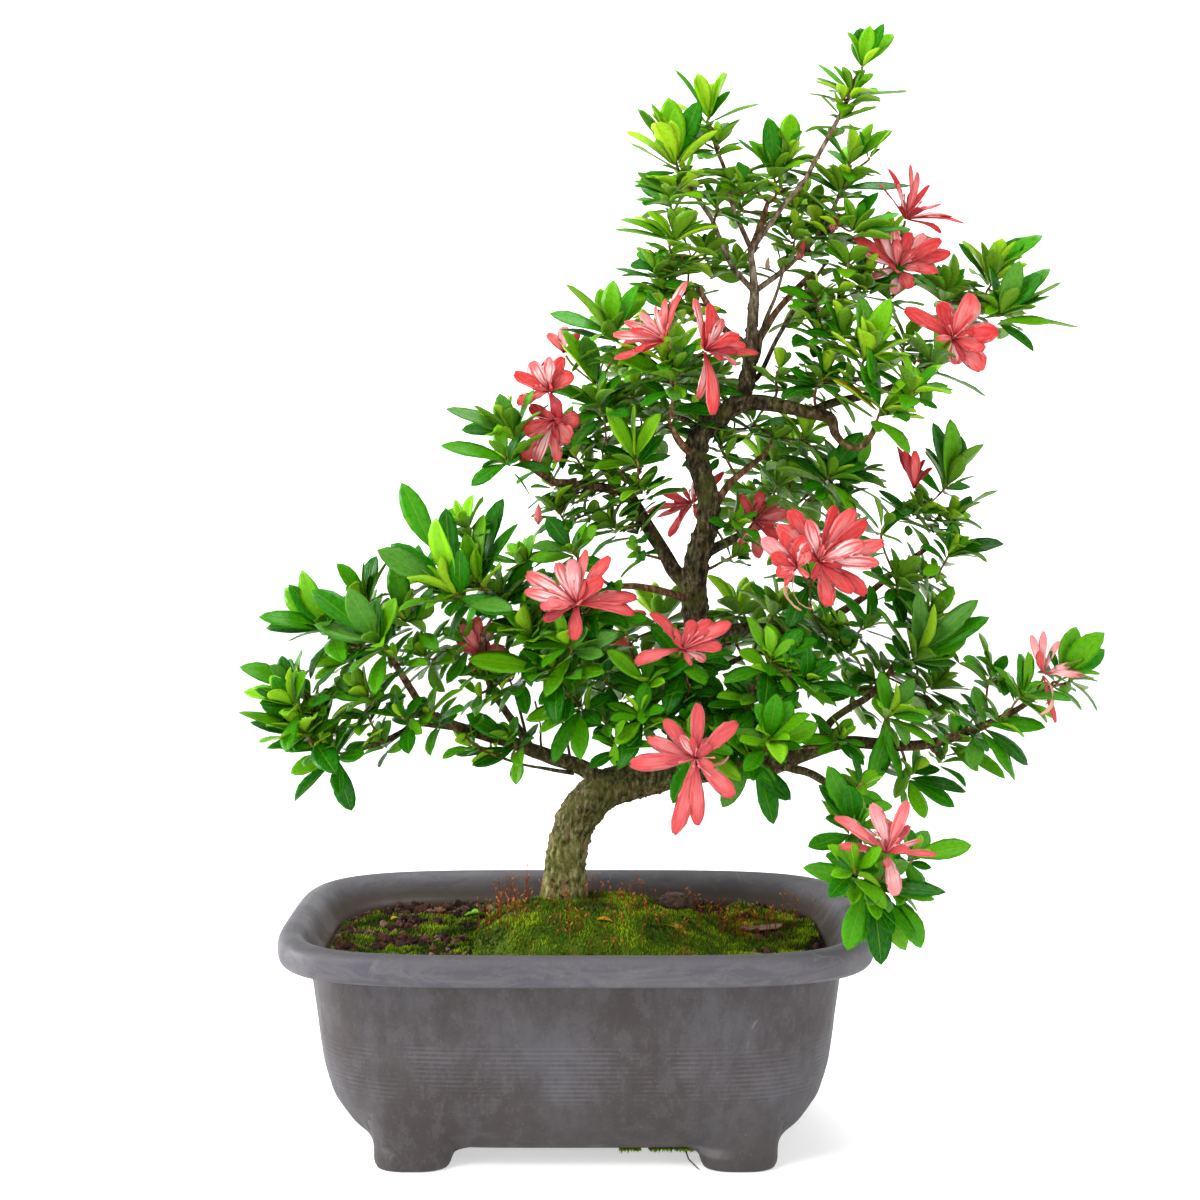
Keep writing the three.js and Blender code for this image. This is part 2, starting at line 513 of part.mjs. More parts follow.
function limb(spots, sides, stepsPerSpot) {
  const points = spots.map(spotAt);
  const widths = spots.map((spot) => spot[3]);
  const steps = Math.round((spots.length - 1) * stepsPerSpot);
  return {
    solid: tube(points, widths, sides, steps),
    sleeve: sleeve(points, widths, sides, steps),
  };
}

function branch(limbs) {
  const parts = limbs.map((spots) => limb(spots, WOOD_SIDES, BRANCH_STEPS_PER_SPOT));
  return {
    solid: joined(parts.map((part) => part.solid)),
    sleeve: joined(parts.map((part) => part.sleeve)),
  };
}

// ---------------------------------------------------------------------------
// Whorls of leaves and flowers
// ---------------------------------------------------------------------------

const UP = new THREE.Vector3(0, 0, 1);
const CROWN_CENTRE = new THREE.Vector3(60, 10, 330);
const SHOOT_OUT_SHARE = 0.6;
const SHOOT_UP_SHARE = 0.8;
const FULL_TURN = 2 * Math.PI;
const WIDEST_NOTCH_TURN = 1.8; // a wider gap between blades gets more than one notch

// Shoots grow outwards from the crown's centre and up.
function shootAxis(centre) {
  const out = centre.clone().sub(CROWN_CENTRE).normalize();
  return out.multiplyScalar(SHOOT_OUT_SHARE).addScaledVector(UP, SHOOT_UP_SHARE).normalize();
}

// Blades that stand round an axis, as one thin closed body. A blade has an angle round the axis,
// a length and a lift over the plane across the axis. Between two blades the outline comes back to
// a notch. The upper side rises to one crown point, and the underside has a small core that the
// stalk enters.
function whorl(centre, axis, blades, style) {
  const across = new THREE.Vector3(1, 0, 0).addScaledVector(axis, -axis.x).normalize();
  const side = axis.clone().cross(across);
  const around = (angle) =>
    across.clone().multiplyScalar(Math.cos(angle)).addScaledVector(side, Math.sin(angle));
  const corners = [
    centre.clone().addScaledVector(axis, style.crown),
    centre.clone().addScaledVector(axis, -style.root),
  ];
  const ring = [];
  const notches = [];
  const addCorner = (list, corner) => {
    corners.push(corner);
    ring.push(corners.length - 1);
    list?.push(corners.length - 1);
  };
  blades.forEach((blade, i) => {
    const out = around(blade.angle);
    const along = out.clone().multiplyScalar(Math.cos(blade.lift));
    along.addScaledVector(axis, Math.sin(blade.lift));
    const broad = axis.clone().cross(out).multiplyScalar(style.widthShare * blade.length);
    const middle = centre.clone().addScaledVector(along, WIDEST_SHARE * blade.length);
    addCorner(null, middle.clone().sub(broad));
    addCorner(null, centre.clone().addScaledVector(along, blade.length));
    addCorner(null, middle.clone().add(broad));
    const next = blades[(i + 1) % blades.length].angle;
    const turn = (((next - blade.angle) % FULL_TURN) + FULL_TURN) % FULL_TURN || FULL_TURN;
    const count = Math.max(1, Math.ceil(turn / WIDEST_NOTCH_TURN));
    for (let k = 1; k <= count; k += 1) {
      const angle = blade.angle + (turn * (k - 0.5)) / count;
      addCorner(notches, centre.clone().addScaledVector(around(angle), style.notch));
    }
  });
  const faces = [];
  ring.forEach((here, i) => faces.push(0, here, ring[(i + 1) % ring.length]));
  notches.forEach((here, i) => faces.push(1, notches[(i + 1) % notches.length], here));
  notches.forEach((here, i) => {
    const next = notches[(i + 1) % notches.length];
    const start = ring.indexOf(here);
    const [left, tip, right, after] = [1, 2, 3, 4].map((k) => ring[(start + k) % ring.length]);
    if (after === next && right !== next) {
      faces.push(here, tip, left, here, next, tip, next, right, tip);
    }
  });
  const geometry = new THREE.BufferGeometry().setFromPoints(corners);
  geometry.setIndex(faces);
  return toSolid(geometry);
}

const placed = []; // every solid so far, with its name and box

function place(name, solid) {
  const box = solid.boundingBox();
  const entry = placed.find((other) => other.name === name);
  if (entry) {
    Object.assign(entry, { solid, box });
  } else {
    placed.push({ name, solid, box });
  }
}

function boxesMeet(a, b, reach) {
  return [0, 1, 2].every((i) => a.min[i] - reach < b.max[i] && b.min[i] - reach < a.max[i]);
}

// Whether a blade clears every other piece and the whorls of its own piece.
function hasRoom(blade, ownName, ownWhorls) {
  const box = blade.boundingBox();
  const clears = (other) => !boxesMeet(box, other.box, GAP)
    || blade.minGap(other.solid, GAP) >= 0.99 * GAP;
  return placed.every((other) => other.name === ownName || clears(other))
    && ownWhorls.every((solid) => clears({ solid, box: solid.boundingBox() }));
}

const SHORTER = [1, 0.85, 0.7, 0.55]; // a blade that meets a neighbour stays this much shorter

// The blades of a whorl that have room, each as long as its room allows.
function roomyBlades(centre, axis, blades, style, ownName, ownWhorls) {
  const kept = [];
  for (const blade of blades) {
    for (const share of SHORTER) {
      const tried = { ...blade, length: blade.length * share };
      const probe = whorl(centre, axis, [tried], style);
      const free = hasRoom(probe, ownName, ownWhorls);
      probe.delete();
      if (free) {
        kept.push(tried);
        break;
      }
    }
  }
  return kept;
}

function bladeRing(count, length, lift, swing, turn) {
  const blades = [];
  for (let i = 0; i < count; i += 1) {
    blades.push({
      angle: turn + (FULL_TURN * i) / count,
      length: length * (i % 2 === 0 ? 1 : SHORT_BLADE_SHARE),
      lift: THREE.MathUtils.degToRad(lift + (i % 2 === 0 ? swing : -swing)),
    });
  }
  return blades;
}

function twig(points, sides, from, to) {
  const widths = points.map((_, i) => THREE.MathUtils.lerp(from, to, i / (points.length - 1)));
  return tube(points, widths, sides, points.length - 1);
}

// The wood of a spray: its stem, then a shoot to each whorl that bends up at its end.
function sprayWood(spray) {
  const centres = spray.shoots.map(spotAt);
  const stem = [spray.base, ...(spray.stem ?? [])].map(spotAt);
  if (!spray.stem) {
    const out = centres.reduce((sum, centre) => sum.add(centre), new THREE.Vector3());
    out.divideScalar(centres.length).sub(stem[0]).setLength(TWIG.knuckle);
    stem.push(stem[0].clone().add(out));
  }
  const stemBase = STEM.tip + STEM.baseExtra + STEM.baseExtraPerSpot * (stem.length - 2);
  const parts = [twig(stem, STEM.sides, stemBase, STEM.tip)];
  const start = stem[stem.length - 1];
  spray.ends = centres.map((centre, i) => {
    const axis = shootAxis(centre);
    const crown = centre.clone().addScaledVector(axis, WHORL.crown);
    const bend = centre.clone().addScaledVector(axis, -TWIG.bendShare * centre.distanceTo(start));
    const flowers = FLOWERS.some((flower) => flower.on === spray.name && flower.shoot === i);
    parts.push(twig([start, bend, flowers ? crown : centre], TWIG.sides, TWIG.base, TWIG.tip));
    return { centre, axis, crown };
  });
  return joined(parts);
}

function flowerWood(flower, start, startAxis) {
  const parts = flower.blooms.map((bloom) => {
    const throat = spotAt(bloom.spot);
    const face = new THREE.Vector3(bloom.face[0], bloom.face[2], bloom.face[1]).normalize();
    const reach = STALK.bendShare * throat.distanceTo(start);
    const bendUp = start.clone().addScaledVector(startAxis, reach);
    const bendIn = throat.clone().addScaledVector(face, -reach);
    Object.assign(bloom, { throat, axis: face });
    return twig([start, bendUp, bendIn, throat], STALK.sides, STALK.base, STALK.tip);
  });
  return joined(parts);
}

// ---------------------------------------------------------------------------
// Assembly
// ---------------------------------------------------------------------------

const bonsai = new THREE.Group();

function addNode(name, solid, material) {
  const mesh = new THREE.Mesh(toGeometry(solid), material);
  mesh.name = name;
  bonsai.add(mesh);
}

const trunk = limb(TRUNK, TRUNK_SIDES, TRUNK_STEPS_PER_SPOT);
const wood = { trunk };
place("pot", potSolid());
place("screen_left", screenSolid(-1));
place("screen_right", screenSolid(1));
place("soil", soilSolid(trunk.sleeve));
place("moss_mound", moundSolid(trunk.sleeve));
place("rock", rockSolid(0));
place("bark_chip", chipSolid());
place("trunk", trunk.solid);

const BRANCHES = {
  branch_left_low: [LEFT_LOW, LEFT_LOW_OUTER, LEFT_LOW_RISE],
  branch_left_upper: [LEFT_UPPER],
  branch_right_low: [RIGHT_LOW, RIGHT_LOW_RISE, RIGHT_HANGING],
  branch_right_mid: [RIGHT_MID],
  branch_right_upper: [RIGHT_UPPER, RIGHT_UPPER_BACK],
  branch_top: [TOP, TOP_LEFT, TOP_MIDDLE, TOP_RIGHT],
  branch_back_low: [BACK_LOW, BACK_LOW_RIGHT],
  branch_back_mid: [BACK_MID],
};
for (const [name, limbs] of Object.entries(BRANCHES)) {
  wood[name] = branch(limbs);
  place(name, largest(wood[name].solid.subtract(trunk.sleeve)));
}

for (const spray of SPRAYS) {
  place(spray.name, largest(sprayWood(spray).subtract(wood[spray.on].sleeve)));
}

for (const flower of FLOWERS) {
  const carrier = SPRAYS.find((spray) => spray.name === flower.on);
  let stalks;
  if (carrier) {
    const end = carrier.ends[flower.shoot];
    stalks = flowerWood(flower, end.crown.clone().addScaledVector(end.axis, 1.5 * GAP), end.axis);
  } else {
    const start = spotAt(flower.from);
    stalks = flowerWood(flower, start, UP).subtract(wood[flower.on].sleeve);
  }
  const heads = [];
  flower.blooms.forEach((bloom, i) => {
    const lift = bloom.lift ?? PETAL.lift;
    const ring = bladeRing(PETAL.count, bloom.petal, lift, PETAL_LIFT_SWING, 0.4 + i);
    const petals = roomyBlades(bloom.throat, bloom.axis, ring, PETAL, flower.name, heads);
    heads.push(whorl(bloom.throat, bloom.axis, petals, PETAL));
  });
  place(flower.name, joined([stalks, ...heads]));
}

for (const spray of SPRAYS) {
  const wholeWood = placed.find((entry) => entry.name === spray.name).solid;
  const whorls = [];
  spray.ends.forEach(({ centre, axis }, i) => {
    const [, , , length, lift] = spray.shoots[i];
    const ring = bladeRing(WHORL.leaves, length, lift, WHORL.liftSwing, 0.7 * i + centre.x);
    const leaves = roomyBlades(centre, axis, ring, WHORL, spray.name, whorls);
    if (leaves.length > 0) {
      whorls.push(whorl(centre, axis, leaves, WHORL));
    }
  });
  place(spray.name, joined([wholeWood, ...whorls]));
}

function materialOf(name) {
  const kinds = { spray: "leaf", flower: "petal", branch: "bark", trunk: "bark", screen: "screen" };
  const others = { pot: "pot", soil: "soil", moss: "moss", rock: "rock", bark: "chip" };
  return MATERIALS[{ ...kinds, ...others }[name.split("_")[0]]];
}

for (const { name, solid } of placed) {
  addNode(name, solid, materialOf(name));
}

// The origin is the middle of the underside of the whole piece's box.
const middle = new THREE.Box3().setFromObject(bonsai).getCenter(new THREE.Vector3());
bonsai.position.set(-middle.x, -middle.y, 0);
bonsai.updateMatrixWorld(true);

export default bonsai;
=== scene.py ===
"""Looks of the satsuki azalea bonsai in its tray pot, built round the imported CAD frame.

Metres, +Z up. The front of the tree faces -Y. Layout lists are in millimetres from the middle of the
pot's underside, as in the CAD model, and at() and on_pot() turn them into the frame's metres.
"""

import math
import random

import bmesh
import bpy
import numpy as np
from mathutils import Euler, Matrix, Vector, noise


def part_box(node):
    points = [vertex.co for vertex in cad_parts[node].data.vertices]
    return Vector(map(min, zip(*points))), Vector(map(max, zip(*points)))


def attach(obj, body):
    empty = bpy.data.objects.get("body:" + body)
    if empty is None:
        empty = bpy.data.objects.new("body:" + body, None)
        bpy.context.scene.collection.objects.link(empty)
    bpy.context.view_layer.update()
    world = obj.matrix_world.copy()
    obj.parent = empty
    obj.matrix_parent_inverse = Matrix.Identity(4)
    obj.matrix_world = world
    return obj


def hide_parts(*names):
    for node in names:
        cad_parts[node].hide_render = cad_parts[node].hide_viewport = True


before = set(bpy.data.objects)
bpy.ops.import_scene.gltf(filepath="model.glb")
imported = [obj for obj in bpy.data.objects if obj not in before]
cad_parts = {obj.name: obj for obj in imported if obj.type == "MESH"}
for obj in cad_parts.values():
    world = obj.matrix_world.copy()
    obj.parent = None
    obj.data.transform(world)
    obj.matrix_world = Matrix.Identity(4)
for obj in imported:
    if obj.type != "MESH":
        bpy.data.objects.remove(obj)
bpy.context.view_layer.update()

# ---------------------------------------------------------------------------
# Frame and layout
# ---------------------------------------------------------------------------

MM = 0.001
POT_LOW, POT_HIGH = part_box("pot")
POT_MIDDLE = Vector(((POT_LOW.x + POT_HIGH.x) / 2, (POT_LOW.y + POT_HIGH.y) / 2, 0.0))
EYE = {"x": 12, "z": 350, "distance": 1090}
PITCH_DOWN = 0.067  # radians
LENS = 63  # mm
SENSOR = 36  # mm each way
FULL_TURN = 2 * math.pi
UP = Vector((0, 0, 1))
FRONT = Vector((0, -1, 0))
RIB_PITCH = 2.4  # mm, of the pot's fine ribs


def on_pot(x, y, z):
    """A point in millimetres from the middle of the pot's underside."""
    return POT_MIDDLE + Vector((x, y, z)) * MM


def at(x, z, y=0.0):
    """A spot of the front elevation: x and z on the plane y = 0, y behind that plane."""
    spread = 1 + y / EYE["distance"]
    return on_pot(EYE["x"] + (x - EYE["x"]) * spread, y, EYE["z"] + (z - EYE["z"]) * spread)


def smooth(low, high, value):
    """Goes smoothly from 0 at low to 1 at high."""
    share = min(max((value - low) / (high - low), 0.0), 1.0)
    return share * share * (3 - 2 * share)


# ---------------------------------------------------------------------------
# Node materials
# ---------------------------------------------------------------------------

MIX_SOCKETS = (0, 6, 7)  # the share and the two colours of a Mix node that mixes colours


class Paint:
    """One node material, built call by call. Its tone is the colour that it has so far."""

    def __init__(self, name, roughness, **sockets):
        self.material = bpy.data.materials.new(name)
        self.material.use_nodes = True
        self.tree = self.material.node_tree
        self.shader = self.tree.nodes["Principled BSDF"]
        self.shader.inputs["Roughness"].default_value = roughness
        self.tone = None
        for socket, value in sockets.items():
            self.shader.inputs[socket.replace("_", " ")].default_value = value

    def feed(self, socket, value):
        """Set a node's socket to a number or a colour, or link it to another socket."""
        if isinstance(value, bpy.types.NodeSocket):
            self.tree.links.new(value, socket)
        elif socket.type == "RGBA":
            socket.default_value = (*value, 1.0)
        else:
            socket.default_value = value

    def node(self, kind, inputs=None, **settings):
        made = self.tree.nodes.new(kind)
        for key, value in settings.items():
            setattr(made, key, value)
        for key, value in (inputs or {}).items():
            self.feed(made.inputs[key], value)
        return made

    def mapping(self, source, scale):
        return self.node("ShaderNodeMapping", {"Vector": source, "Scale": scale}).outputs[0]

    def place(self, scale=(1, 1, 1)):
        """Object coordinates in metres, stretched by scale."""
        return self.mapping(self.node("ShaderNodeTexCoord").outputs["Object"], scale)

    def uv(self):
        return self.node("ShaderNodeUVMap", uv_map="OFBake").outputs[0]

    def on_map(self, along, across):
        """The place on the piece's OFBake map, stretched."""
        return self.mapping(self.uv(), (along, across, 1))

    def height(self):
        return self.split(self.place())[2]

    def shade(self):
        return self.node("ShaderNodeAttribute", attribute_name="shade").outputs["Fac"]

    def noise(self, scale, detail, roughness, vector=None, distortion=0.0):
        inputs = {"Scale": scale, "Detail": detail, "Roughness": roughness, "Distortion": distortion}
        inputs["Vector"] = vector or self.place()
        return self.node("ShaderNodeTexNoise", inputs).outputs["Fac"]

    def cells(self, scale, vector):
        return self.node("ShaderNodeTexVoronoi", {"Scale": scale, "Vector": vector}).outputs["Distance"]

    def math(self, operation, a, b=0.0, c=0.0):
        return self.node("ShaderNodeMath", {0: a, 1: b, 2: c}, operation=operation).outputs[0]

    def times(self, a, b):
        return self.math("MULTIPLY", a, b)

    def rise(self, value, low, high, start=0.0, end=1.0):
        inputs = {"Value": value, "From Min": low, "From Max": high, "To Min": start, "To Max": end}
        made = self.node("ShaderNodeMapRange", inputs, interpolation_type="SMOOTHSTEP")
        return made.outputs["Result"]

    def ramp(self, value, stops, interpolation="LINEAR"):
        made = self.node("ShaderNodeValToRGB", {"Fac": value})
        elements = made.color_ramp.elements
        made.color_ramp.interpolation = interpolation
        for k, (position, color) in enumerate(stops):
            element = elements[k] if k < 2 else elements.new(position)
            element.position = position
            element.color = (*color, 1.0)
        return made.outputs["Color"]

    def mix(self, share, a, b, blend="MIX"):
        made = self.node("ShaderNodeMix", data_type="RGBA", blend_type=blend)
        for socket, value in zip(MIX_SOCKETS, (share, a, b)):
            self.feed(made.inputs[socket], value)
        return made.outputs[2]

    def lay(self, share, color, blend="MIX"):
        """Lay a colour over the tone by a share."""
        self.tone = self.mix(share, self.tone, color, blend)

    def tint(self, value, low, high, color, most=1.0, blend="MIX"):
        """Lay a colour over the tone where value goes from low to high, up to a share of most."""
        self.lay(self.rise(value, low, high, 0.0, most), color, blend)

    def split(self, vector):
        return self.node("ShaderNodeSeparateXYZ", {0: vector}).outputs

    def bump(self, height, distance, strength):
        inputs = {"Height": height, "Distance": distance, "Strength": strength}
        before = self.shader.inputs["Normal"].links
        if before:
            inputs["Normal"] = before[0].from_socket
        made = self.node("ShaderNodeBump", inputs)
        self.tree.links.new(made.outputs[0], self.shader.inputs["Normal"])

    def done(self, value, low, high, start, end):
        """The material, with its tone and a roughness that goes from start to end with a value."""
        self.tree.links.new(self.tone, self.shader.inputs["Base Color"])
        self.tree.links.new(self.rise(value, low, high, start, end), self.shader.inputs["Roughness"])
        return self.material


# ---------------------------------------------------------------------------
# Meshes
# ---------------------------------------------------------------------------


class Shell:
    """Points and faces of a piece, collected part by part. corners are the places on its map of each
    face's corners, and shades hold one number for each point. A piece has all of either or none."""

    def __init__(self):
        self.points = []
        self.faces = []
        self.corners = []
        self.shades = []

    def add(self, points, faces, corners=(), shades=()):
        start = len(self.points)
        self.points.extend(tuple(point) for point in points)
        self.faces.extend(tuple(start + i for i in face) for face in faces)
        self.corners.extend(corners)
        self.shades.extend(shades)

    def piece(self, name, material, slot, replaces=(), smooth_faces=True):
        mesh = bpy.data.meshes.new(name)
        mesh.from_pydata(self.points, [], self.faces)
        if self.corners:
            layer = mesh.uv_layers.new(name="OFBake")
            layer.data.foreach_set("uv", np.array(self.corners, np.float32).ravel())
        if self.shades:
            layer = mesh.attributes.new("shade", "FLOAT", "POINT")
            layer.data.foreach_set("value", np.array(self.shades, np.float32))
        mesh.polygons.foreach_set("use_smooth", [smooth_faces] * len(mesh.polygons))
        mesh.materials.append(material)
        made = bpy.data.objects.new(name, mesh)
        bpy.context.scene.collection.objects.link(made)
        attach(made, "root")
        if replaces:
            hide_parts(*replaces)
        return made


def spline(points, per_span):
    """Points on a smooth curve through the given ones, each a vector of any size."""
    points = np.array(points, float)
    padded = np.vstack([2 * points[0] - points[1], points, 2 * points[-1] - points[-2]])
    out = []
    for i in range(len(points) - 1):
        a, b, c, d = padded[i:i + 4]
        for k in range(per_span):
            t = k / per_span
            out.append(0.5 * (2 * b + (c - a) * t + (2 * a - 5 * b + 4 * c - d) * t * t
                              + (3 * b - a - 3 * c + d) * t ** 3))
    out.append(points[-1])
    return np.array(out)


def across(direction):
    """Any unit vector at right angles to direction."""
    other = UP if abs(direction.z) < 0.9 else Vector((1, 0, 0))
    return direction.cross(other).normalized()


def wall_faces(rings, sides):
    """Quads between rings of as many points each."""
    faces = []
    for i in range(rings - 1):
        for k in range(sides):
            a, b = i * sides + k, i * sides + (k + 1) % sides
            faces.append((a, b, b + sides, a + sides))
    return faces


def end_faces(rings, sides):
    """The two faces that close a body of rings."""
    last = (rings - 1) * sides
    return tuple(range(sides - 1, -1, -1)), tuple(range(last, last + sides))


def tube(shell, centres, radii, sides, swell=None, shades=None, spot=None):
    """A closed tube round a line of centres. swell(point, ring, angle) makes its skin uneven, shades
    has one shade for each centre, and spot is the place on the piece's map that all of the tube
    takes its colour from."""
    centres = [Vector(c) for c in centres]
    side = across((centres[1] - centres[0]).normalized())
    points = []
    for i, centre in enumerate(centres):
        ahead = centres[min(i + 1, len(centres) - 1)] - centres[max(i - 1, 0)]
        ahead.normalize()
        side = (side - ahead * side.dot(ahead)).normalized()
        other = ahead.cross(side)
        for k in range(sides):
            angle = FULL_TURN * k / sides
            out = side * math.cos(angle) + other * math.sin(angle)
            radius = radii[i]
            if swell:
                radius += swell(centre + out * radius, i, angle)
            points.append(centre + out * radius)
    faces = wall_faces(len(centres), sides) + list(end_faces(len(centres), sides))
    corners = [spot for face in faces for _ in face] if spot else ()
    shell.add(points, faces, corners, [shade for shade in shades or () for _ in range(sides)])


# ---------------------------------------------------------------------------
# Blades: leaves and petals
# ---------------------------------------------------------------------------

# A blade is a thin closed sheet. Its upper side has five points across, its underside shares the
# edge with it. Its corners lie in one tile of the piece's OFBake map, along U and across V.

ACROSS = np.array([-1, -0.55, 0, 0.55, 1])
LEAF_STATIONS = np.array([0, 0.1, 0.23, 0.4, 0.58, 0.76, 0.91, 1])
PETAL_STATIONS = np.array([0, 0.14, 0.31, 0.5, 0.68, 0.83, 0.945, 1])
BLADE_THICK = {"leaf": 0.00022, "petal": 0.00016}  # metres, near nothing long
MIDRIB_THICKER = 1.6
TILE_MARGIN = 0.04
TILES = {"leaf": (2, 8), "petal": (2, 4)}  # columns, rows


def leaf_outline(t):
    """Half width of a leaf, as a share of its greatest."""
    blade = (t ** 1.05) * ((1 - t) ** 0.78)
    peak = (0.574 ** 1.05) * (0.426 ** 0.78)
    return max(blade / peak, 0.07 * (1 - t), 0.015)


def petal_outline(t):
    """Half width of a strap petal, which widens slowly and ends blunt."""
    return (0.26 + 0.74 * smooth(0, 0.64, t)) * (1 - 0.68 * max(0, (t - 0.72) / 0.28) ** 2.2)


def blade_faces(rows):
    """Quads of a blade's two sides, with the tile corners of each."""
    def below(i, j):
        if i in (0, rows - 1) or j in (0, 4):
            return i * 5 + j
        return rows * 5 + (i - 1) * 3 + (j - 1)

    upper, lower = [], []
    for i in range(rows - 1):
        for j in range(4):
            quad = ((i, j), (i + 1, j), (i + 1, j + 1), (i, j + 1))
            upper.append(quad)
            lower.append(quad[::-1])
    faces = [tuple(i * 5 + j for i, j in quad) for quad in upper]
    faces += [tuple(below(i, j) for i, j in quad) for quad in lower]
    return faces, upper, lower


BLADE_FACES, BLADE_UPPER, BLADE_LOWER = blade_faces(len(LEAF_STATIONS))


def tile_corners(quads, stations, tile, grid):
    """Places on the map of the quads' corners, inside one tile of a grid of columns and rows."""
    columns, rows = grid
    column, row = tile
    corners = []
    for quad in quads:
        for i, j in quad:
            u = TILE_MARGIN + (1 - 2 * TILE_MARGIN) * stations[i]
            v = TILE_MARGIN + (1 - 2 * TILE_MARGIN) * (ACROSS[j] + 1) / 2
            corners.append(((column + u) / columns, (row + v) / rows))
    return corners


def bent(form, t):
    """How far a blade has bent down at a share of its length, in radians."""
    return form["bend"] * t ** 1.3 + form.get("rise", 0) * (1 - t) ** 2


def blade(shell, kind, base, along, up, length, width, tiles, form, rng):
    """One leaf or petal. tiles are those of its two sides, and form holds how it bends and twists along
    its length, how it folds and cups across, and how its edges wave."""
    stations = LEAF_STATIONS if kind == "leaf" else PETAL_STATIONS
    outline = leaf_outline if kind == "leaf" else petal_outline
    along = np.array(along.normalized())
    up = np.array(up)
    up = up - along * up.dot(along)
    up /= np.linalg.norm(up)
    side = np.cross(up, along)
    phase = rng.uniform(0, FULL_TURN)
    thick = BLADE_THICK[kind] * (1 + length / 0.03)
    spot = np.array(base)
    upper, lower = [], []
    ragged = [rng.uniform(-0.022, 0.01) if kind == "petal" else 0 for _ in ACROSS]
    before = 0.0
    for i, t in enumerate(stations):
        angle = bent(form, (t + before) / 2)
        ahead = math.cos(angle) * along - math.sin(angle) * up
        spot = spot + ahead * (t - before) * length
        here = bent(form, t)
        normal = math.cos(here) * up + math.sin(here) * along
        turn = form["twist"] * t
        edge = math.cos(turn) * side + math.sin(turn) * normal
        face = math.cos(turn) * normal - math.sin(turn) * side
        half = 0.5 * width * outline(t)
        for j, share in enumerate(ACROSS):
            lift = form["fold"] * abs(share) * half - form["cup"] * share * share * half
            lift += form["wave"] * share * abs(share) * half * math.sin(9 * t + phase + share)
            point = spot + edge * share * half + face * lift
            point = point + ahead * ragged[j] * length * smooth(0.7, 1.0, t)
            upper.append(point)
            if 0 < i < len(stations) - 1 and 0 < j < 4:
                lower.append(point - face * thick * (MIDRIB_THICKER if j == 2 else 1.0))
        before = t
    corners = tile_corners(BLADE_UPPER, stations, tiles[0], TILES[kind])
    corners += tile_corners(BLADE_LOWER, stations, tiles[1], TILES[kind])
    shell.add(upper + lower, BLADE_FACES, corners)


LEAF_TILES = {
    "dark": [(0, 0), (1, 0), (0, 1), (1, 1), (0, 2)],
    "mid": [(1, 2), (0, 3), (1, 3), (0, 4), (1, 4)],
    "young": [(0, 5), (1, 5), (0, 6)],
    "orange": [(1, 6)],
    "dark_back": (0, 7),
    "young_back": (1, 7),
}
LEAF_BROADEST = (11.5 * MM, 13.5 * MM)
LEAF_LONGEST = 37 * MM


def aimed(along, up, bend, rise=0.0):
    """The way a blade that bends has to start so that its tip ends up straight along."""
    back = 0.435 * bend + rise / 3
    up = (up - along * up.dot(along)).normalized()
    start = along * math.cos(back) + up * math.sin(back)
    return start, up * math.cos(back) - along * math.sin(back)


def leaf(shell, rng, base, along, up, length, age, bend=None, width=None):
    """One leaf. Its bend in radians and its width as a share of its length are drawn if not given."""
    young = age in ("young", "orange")
    form = {
        "bend": rng.uniform(0.15, 0.75) if bend is None else bend,
        "fold": rng.uniform(0.18, 0.5) + (0.15 if young else 0),
        "twist": rng.uniform(-0.4, 0.4),
        "cup": rng.uniform(0.05, 0.25),
        "wave": rng.uniform(0.02, 0.1),
    }
    share = width or rng.uniform(0.37, 0.49) + 0.07 * (1 - smooth(0.014, 0.026, length)) - 0.05 * young
    broad = min(share * length, rng.uniform(*LEAF_BROADEST))
    tiles = (rng.choice(LEAF_TILES[age]), LEAF_TILES["young_back" if young else "dark_back"])
    blade(shell, "leaf", base, along, up, length, broad, tiles, form, rng)


# Tiers of a whorl: how many leaves, how many degrees they rise from the plane across the axis, their
# share of the whorl's leaf length, and the ages that they take.
WHORLS = {
    "mature": [(6, 0, 1.0, ("dark", "dark", "mid")), (5, 28, 0.86, ("dark", "mid")),
               (4, 60, 0.58, ("mid", "young"))],
    "young": [(5, 2, 0.9, ("dark", "mid")), (5, 38, 1.0, ("mid", "young", "young")),
              (4, 68, 0.78, ("young",))],
    "light": [(4, 6, 0.9, ("mid",)), (5, 34, 1.0, ("young", "young", "mid")), (3, 66, 0.7, ("young",))],
    "small": [(5, 6, 1.0, ("dark", "mid")), (4, 42, 0.78, ("mid",)), (2, 70, 0.5, ("young",))],
    "shade": [(6, -6, 1.0, ("dark",)), (5, 26, 0.85, ("dark", "dark", "mid"))],
    "free": [(3, 20, 0.85, ("dark", "mid", "mid")), (2, 60, 0.6, ("mid", "young"))],
    "few": [(4, 24, 1.0, ("dark", "mid", "mid", "young"))],
    "pair": [],
}
CROWN_MIDDLE = at(60, 330, 10)
TIER_PLACES = (-5.0, -1.5, 0.8)  # mm along the shoot's end at which the tiers of a whorl stand
TIER_GAP = 0.3  # radians from a leaf that stands out, within which the two low tiers have none
STALK_RADII = [0.6 * MM, 0.5 * MM, 0.4 * MM]
STALK_RISE = 0.0008  # metres
LEAF_OFF = 0.0008  # metres, how far a leaf starts from the middle of its twig


def shoot_axis(centre):
    """The way that a shoot which ends at centre points: up and out of the crown."""
    out = (centre - CROWN_MIDDLE).normalized()
    return (out * 0.55 + UP * 0.85).normalized()


